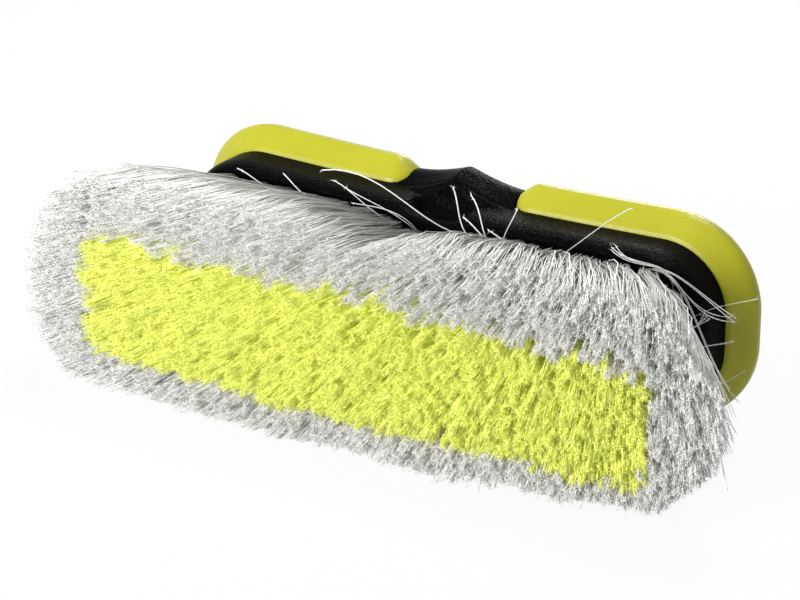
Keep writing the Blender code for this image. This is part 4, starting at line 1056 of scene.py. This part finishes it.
def soft_rubber(name, colour, roughness=0.36):
    """Satin coloured rubber with a little colour drift and faint scuffs."""
    result, tree, shader = new_material(name)
    place = object_place(tree)
    drift = node(tree, "ShaderNodeTexNoise", Vector=place, Scale=18.0, Detail=3.0).outputs["Fac"]
    scuff = node(tree, "ShaderNodeTexNoise", Vector=place, Scale=420.0, Detail=4.0).outputs["Fac"]
    bump = node(tree, "ShaderNodeBump", Strength=0.25, Distance=0.00004, Height=scuff)
    fill(tree, shader, Normal=bump.outputs["Normal"], Specular_IOR_Level=0.3,
         Base_Color=ramp(tree, drift, ((0.35, scaled(colour, 0.93)), (0.65, scaled(colour, 1.05)))),
         Roughness=ramp(tree, scuff, ((0.3, roughness - 0.05), (0.75, roughness + 0.12))))
    return result


def fibre(name, colour, painted_root_shade):
    """Bristle fibre: painted shade darkens it towards the root, deep in the fur, with a tone of its own for
    each bristle.
    """
    result, tree, shader = new_material(name)
    reach, tone = (node(tree, "ShaderNodeAttribute", attribute_name=label).outputs["Fac"]
                   for label in ("reach", "tone"))
    # The root colour is painted shade: the fibre darkens towards the root, where the fur shades itself.
    between = tuple(0.6 * tip + 0.4 * root for tip, root in zip(colour, painted_root_shade))
    body = ramp(tree, reach, ((0.0, painted_root_shade), (0.60, between), (0.85, colour)))
    level = node(tree, "ShaderNodeMapRange", Value=tone, From_Min=-2.0, From_Max=2.0, To_Min=0.98,
                 To_Max=1.0)
    shaded = node(tree, "ShaderNodeVectorMath", body, operation="SCALE", Scale=level.outputs["Result"])
    fill(tree, shader, Base_Color=shaded.outputs["Vector"], Roughness=0.5, Specular_IOR_Level=0.3)
    return result


def metal(name, colour, roughness):
    """Turned metal with fine uneven wear in its gloss."""
    result, tree, shader = new_material(name)
    wear = node(tree, "ShaderNodeTexNoise", Vector=object_place(tree), Scale=500.0, Detail=4.0)
    fill(tree, shader, Base_Color=(*colour, 1.0), Metallic=1.0,
         Roughness=ramp(tree, wear.outputs["Fac"], ((0.3, roughness - 0.06), (0.7, roughness + 0.14))))
    return result


def area_lamp(name, place, size, power):
    """A square soft lamp at place, facing the brush."""
    lamp = bpy.data.lights.new(name, "AREA")
    lamp.size = size
    lamp.energy = power
    holder = bpy.data.objects.new(name, lamp)
    bpy.context.scene.collection.objects.link(holder)
    holder.location = place
    holder.rotation_euler = (Vector(place) - Vector(LAMP_AIM)).to_track_quat("Z", "Y").to_euler()


def seen_rays(tree):
    """1 for camera, glossy and transmission rays."""
    path = node(tree, "ShaderNodeLightPath").outputs
    first = node(tree, "ShaderNodeMath", path["Is Camera Ray"], path["Is Glossy Ray"], operation="MAXIMUM")
    every = node(tree, "ShaderNodeMath", first.outputs["Value"], path["Is Transmission Ray"],
                 operation="MAXIMUM")
    return every.outputs["Value"]


def make_world(strength=0.26):
    """A white world that is seen at strength 1 and lights more softly."""
    world = bpy.data.worlds.new("studio")
    world.use_nodes = True
    tree = world.node_tree
    soft = fill(tree, tree.nodes["Background"], Color=WHITE, Strength=strength)
    seen = node(tree, "ShaderNodeBackground", Color=WHITE, Strength=1.0)
    mix = node(tree, "ShaderNodeMixShader", seen_rays(tree), soft.outputs["Background"],
               seen.outputs["Background"])
    fill(tree, tree.nodes["World Output"], Surface=mix.outputs["Shader"])
    bpy.context.scene.world = world


def make_floor():
    """A wide pale floor: mostly plain white to the camera, with a share of real light for the shadow."""
    corners = ((-4.0, -4.0), (4.0, -4.0), (4.0, 4.0), (-4.0, 4.0))
    mesh = mesh_from("floor", [(x, y, -0.0002) for x, y in corners], ((0, 1, 2, 3),))
    result, tree, shader = new_material("floor_white")
    fill(tree, shader, Base_Color=(0.62, 0.62, 0.62, 1.0), Roughness=0.9)
    glow = node(tree, "ShaderNodeEmission", Strength=1.0, Color=WHITE)
    share = node(tree, "ShaderNodeMath", seen_rays(tree), 0.94, operation="MULTIPLY")
    mix = node(tree, "ShaderNodeMixShader", share.outputs["Value"], shader.outputs["BSDF"],
               glow.outputs["Emission"])
    fill(tree, tree.nodes["Material Output"], Surface=mix.outputs["Shader"])
    mesh.materials.append(result)
    floor = bpy.data.objects.new("floor", mesh)
    bpy.context.scene.collection.objects.link(floor)


def focal_pixels(stage):
    """The camera's focal length in pixels of the photo."""
    return stage.lens * PICTURE_WIDTH / SENSOR_WIDTH


def camera_axes(stage):
    """Right, up and back directions of the camera at its azimuth and elevation."""
    turn, tilt = stage.azimuth, stage.elevation
    back = Vector((math.sin(turn) * math.cos(tilt), -math.cos(turn) * math.cos(tilt), math.sin(tilt)))
    right = Vector((math.cos(turn), math.sin(turn), 0.0))
    return right, back.cross(right), back


def make_camera(stage):
    """The photo's camera, aimed a little left and below so that the block's middle shows at BLOCK_SPOT."""
    right, up, back = camera_axes(stage)
    turned_axes = Matrix((right, up, back)).transposed()
    sight = Vector((BLOCK_SPOT[0] - PICTURE_WIDTH / 2, PICTURE_HEIGHT / 2 - BLOCK_SPOT[1],
                    -focal_pixels(stage))).normalized()
    aim = sight.rotation_difference(Vector((0.0, 0.0, -1.0))).to_matrix()
    data = bpy.data.cameras.new("camera")
    data.lens = stage.lens
    data.sensor_width = SENSOR_WIDTH
    camera = bpy.data.objects.new("camera", data)
    bpy.context.scene.collection.objects.link(camera)
    place = Vector(BLOCK_MIDDLE) + back * stage.distance
    camera.matrix_world = Matrix.Translation(place) @ (turned_axes @ aim).to_4x4()
    bpy.context.scene.camera = camera


class WASHBRUSH_OT_stage(bpy.types.Operator):
    """Make the camera, lamps, world and floor"""
    bl_idname = "wash_brush.make_stage"
    bl_label = "Stage"

    def execute(self, context):
        scene = context.scene
        make_camera(scene.brush_stage)
        make_world()
        make_floor()
        for name, (place, size, share) in LAMPS.items():
            area_lamp(name, place, size, scene.brush_stage.light * share)
        scene.view_settings.view_transform = "Standard"
        scene.cycles.diffuse_bounces = 30
        scene.cycles.max_bounces = 32
        return {"FINISHED"}


class WASHBRUSH_OT_block(bpy.types.Operator):
    """Make the black block with its humps, scoops, neck and screw wells, and the plate of the tufts"""
    bl_idname = "wash_brush.make_block"
    bl_label = "Block"

    def execute(self, context):
        sizes, black = context.scene.brush_block, context.scene.brush_colours.black
        make_block(sizes, grained_plastic("black_grained_plastic", black))
        make_backing(sizes, grained_plastic("black_plate_plastic", black, 0.00004))
        return {"FINISHED"}


class WASHBRUSH_OT_bumpers(bpy.types.Operator):
    """Make the two lime end bumpers"""
    bl_idname = "wash_brush.make_bumpers"
    bl_label = "Bumpers"

    def execute(self, context):
        finish = soft_rubber("lime_soft_rubber", context.scene.brush_colours.lime)
        for name, side in (("bumper_left", -1), ("bumper_right", 1)):
            make_bumper(name, side, context.scene.brush_block, finish)
        return {"FINISHED"}


class WASHBRUSH_OT_nut(bpy.types.Operator):
    """Make the threaded hose nut"""
    bl_idname = "wash_brush.make_nut"
    bl_label = "Hose nut"

    def execute(self, context):
        black = context.scene.brush_colours.black
        make_nut(grained_plastic("black_nut_plastic", black, 0.00005, 1400.0))
        return {"FINISHED"}


class WASHBRUSH_OT_bristles(bpy.types.Operator):
    """Make the grey and lime bristles"""
    bl_idname = "wash_brush.make_bristles"
    bl_label = "Bristles"

    def execute(self, context):
        scene = context.scene
        # Each fibre's second colour is painted shade, which darkens it towards the roots.
        finishes = {
            "grey": fibre("grey_fibre", scene.brush_colours.grey_fibre, (0.40, 0.395, 0.37)),
            "lime": fibre("lime_fibre", scene.brush_colours.lime_fibre, (0.66, 0.72, 0.03)),
        }
        tufts = make_bristles(scene.brush_bristles, scene.brush_block, finishes)
        make_strays(tufts, scene.brush_stage, scene.brush_bristles, finishes["grey"])
        return {"FINISHED"}


class WASHBRUSH_OT_fittings(bpy.types.Operator):
    """Give the frame's own small parts their finishes"""
    bl_idname = "wash_brush.finish_fittings"
    bl_label = "Fittings"

    def execute(self, context):
        finishes = {
            "stainless_steel": metal("screw_steel", (0.60, 0.60, 0.61), 0.28),
            "brass": metal("stem_brass", (0.72, 0.52, 0.20), 0.30),
            "black_rubber": soft_rubber("black_seal_rubber", (0.015, 0.015, 0.015), 0.6),
            "grey_plastic": grained_plastic("grey_plate_plastic", (0.18, 0.18, 0.19), 0.00004, 1200.0),
        }
        wanted = {row["node"]: row["material_slot"] for row in frame["record"]["subparts"]}
        for name, item in frame["nodes"].items():
            if wanted.get(name) in finishes:
                for slot in item.material_slots:
                    slot.material = finishes[wanted[name]]
        return {"FINISHED"}


STEPS = (WASHBRUSH_OT_stage, WASHBRUSH_OT_block, WASHBRUSH_OT_bumpers, WASHBRUSH_OT_nut,
         WASHBRUSH_OT_bristles, WASHBRUSH_OT_fittings)
GROUPS = {"brush_block": BlockSizes, "brush_bristles": BristleSizes, "brush_colours": BrushColours,
          "brush_stage": StageSizes}


class WASHBRUSH_PT_panel(bpy.types.Panel):
    """Sizes, colours and pieces of the wash brush"""
    bl_idname = "WASHBRUSH_PT_panel"
    bl_label = "Wash brush"
    bl_space_type = "VIEW_3D"
    bl_region_type = "UI"
    bl_category = "Wash brush"

    def draw(self, context):
        for group, kind in GROUPS.items():
            box = self.layout.box()
            for label in kind.__annotations__:
                box.prop(getattr(context.scene, group), label)
        for step in STEPS:
            self.layout.operator(step.bl_idname)


def register():
    for kind in (*GROUPS.values(), *STEPS, WASHBRUSH_PT_panel):
        bpy.utils.register_class(kind)
    for name, kind in GROUPS.items():
        setattr(bpy.types.Scene, name, PointerProperty(type=kind))


def unregister():
    for name in GROUPS:
        delattr(bpy.types.Scene, name)
    for kind in (WASHBRUSH_PT_panel, *reversed(STEPS), *GROUPS.values()):
        bpy.utils.unregister_class(kind)


def main():
    register()
    bpy.ops.wash_brush.make_stage()
    bpy.ops.wash_brush.make_block()
    bpy.ops.wash_brush.make_bumpers()
    bpy.ops.wash_brush.make_nut()
    bpy.ops.wash_brush.make_bristles()
    bpy.ops.wash_brush.finish_fittings()


if __name__ == "__main__":
    main()
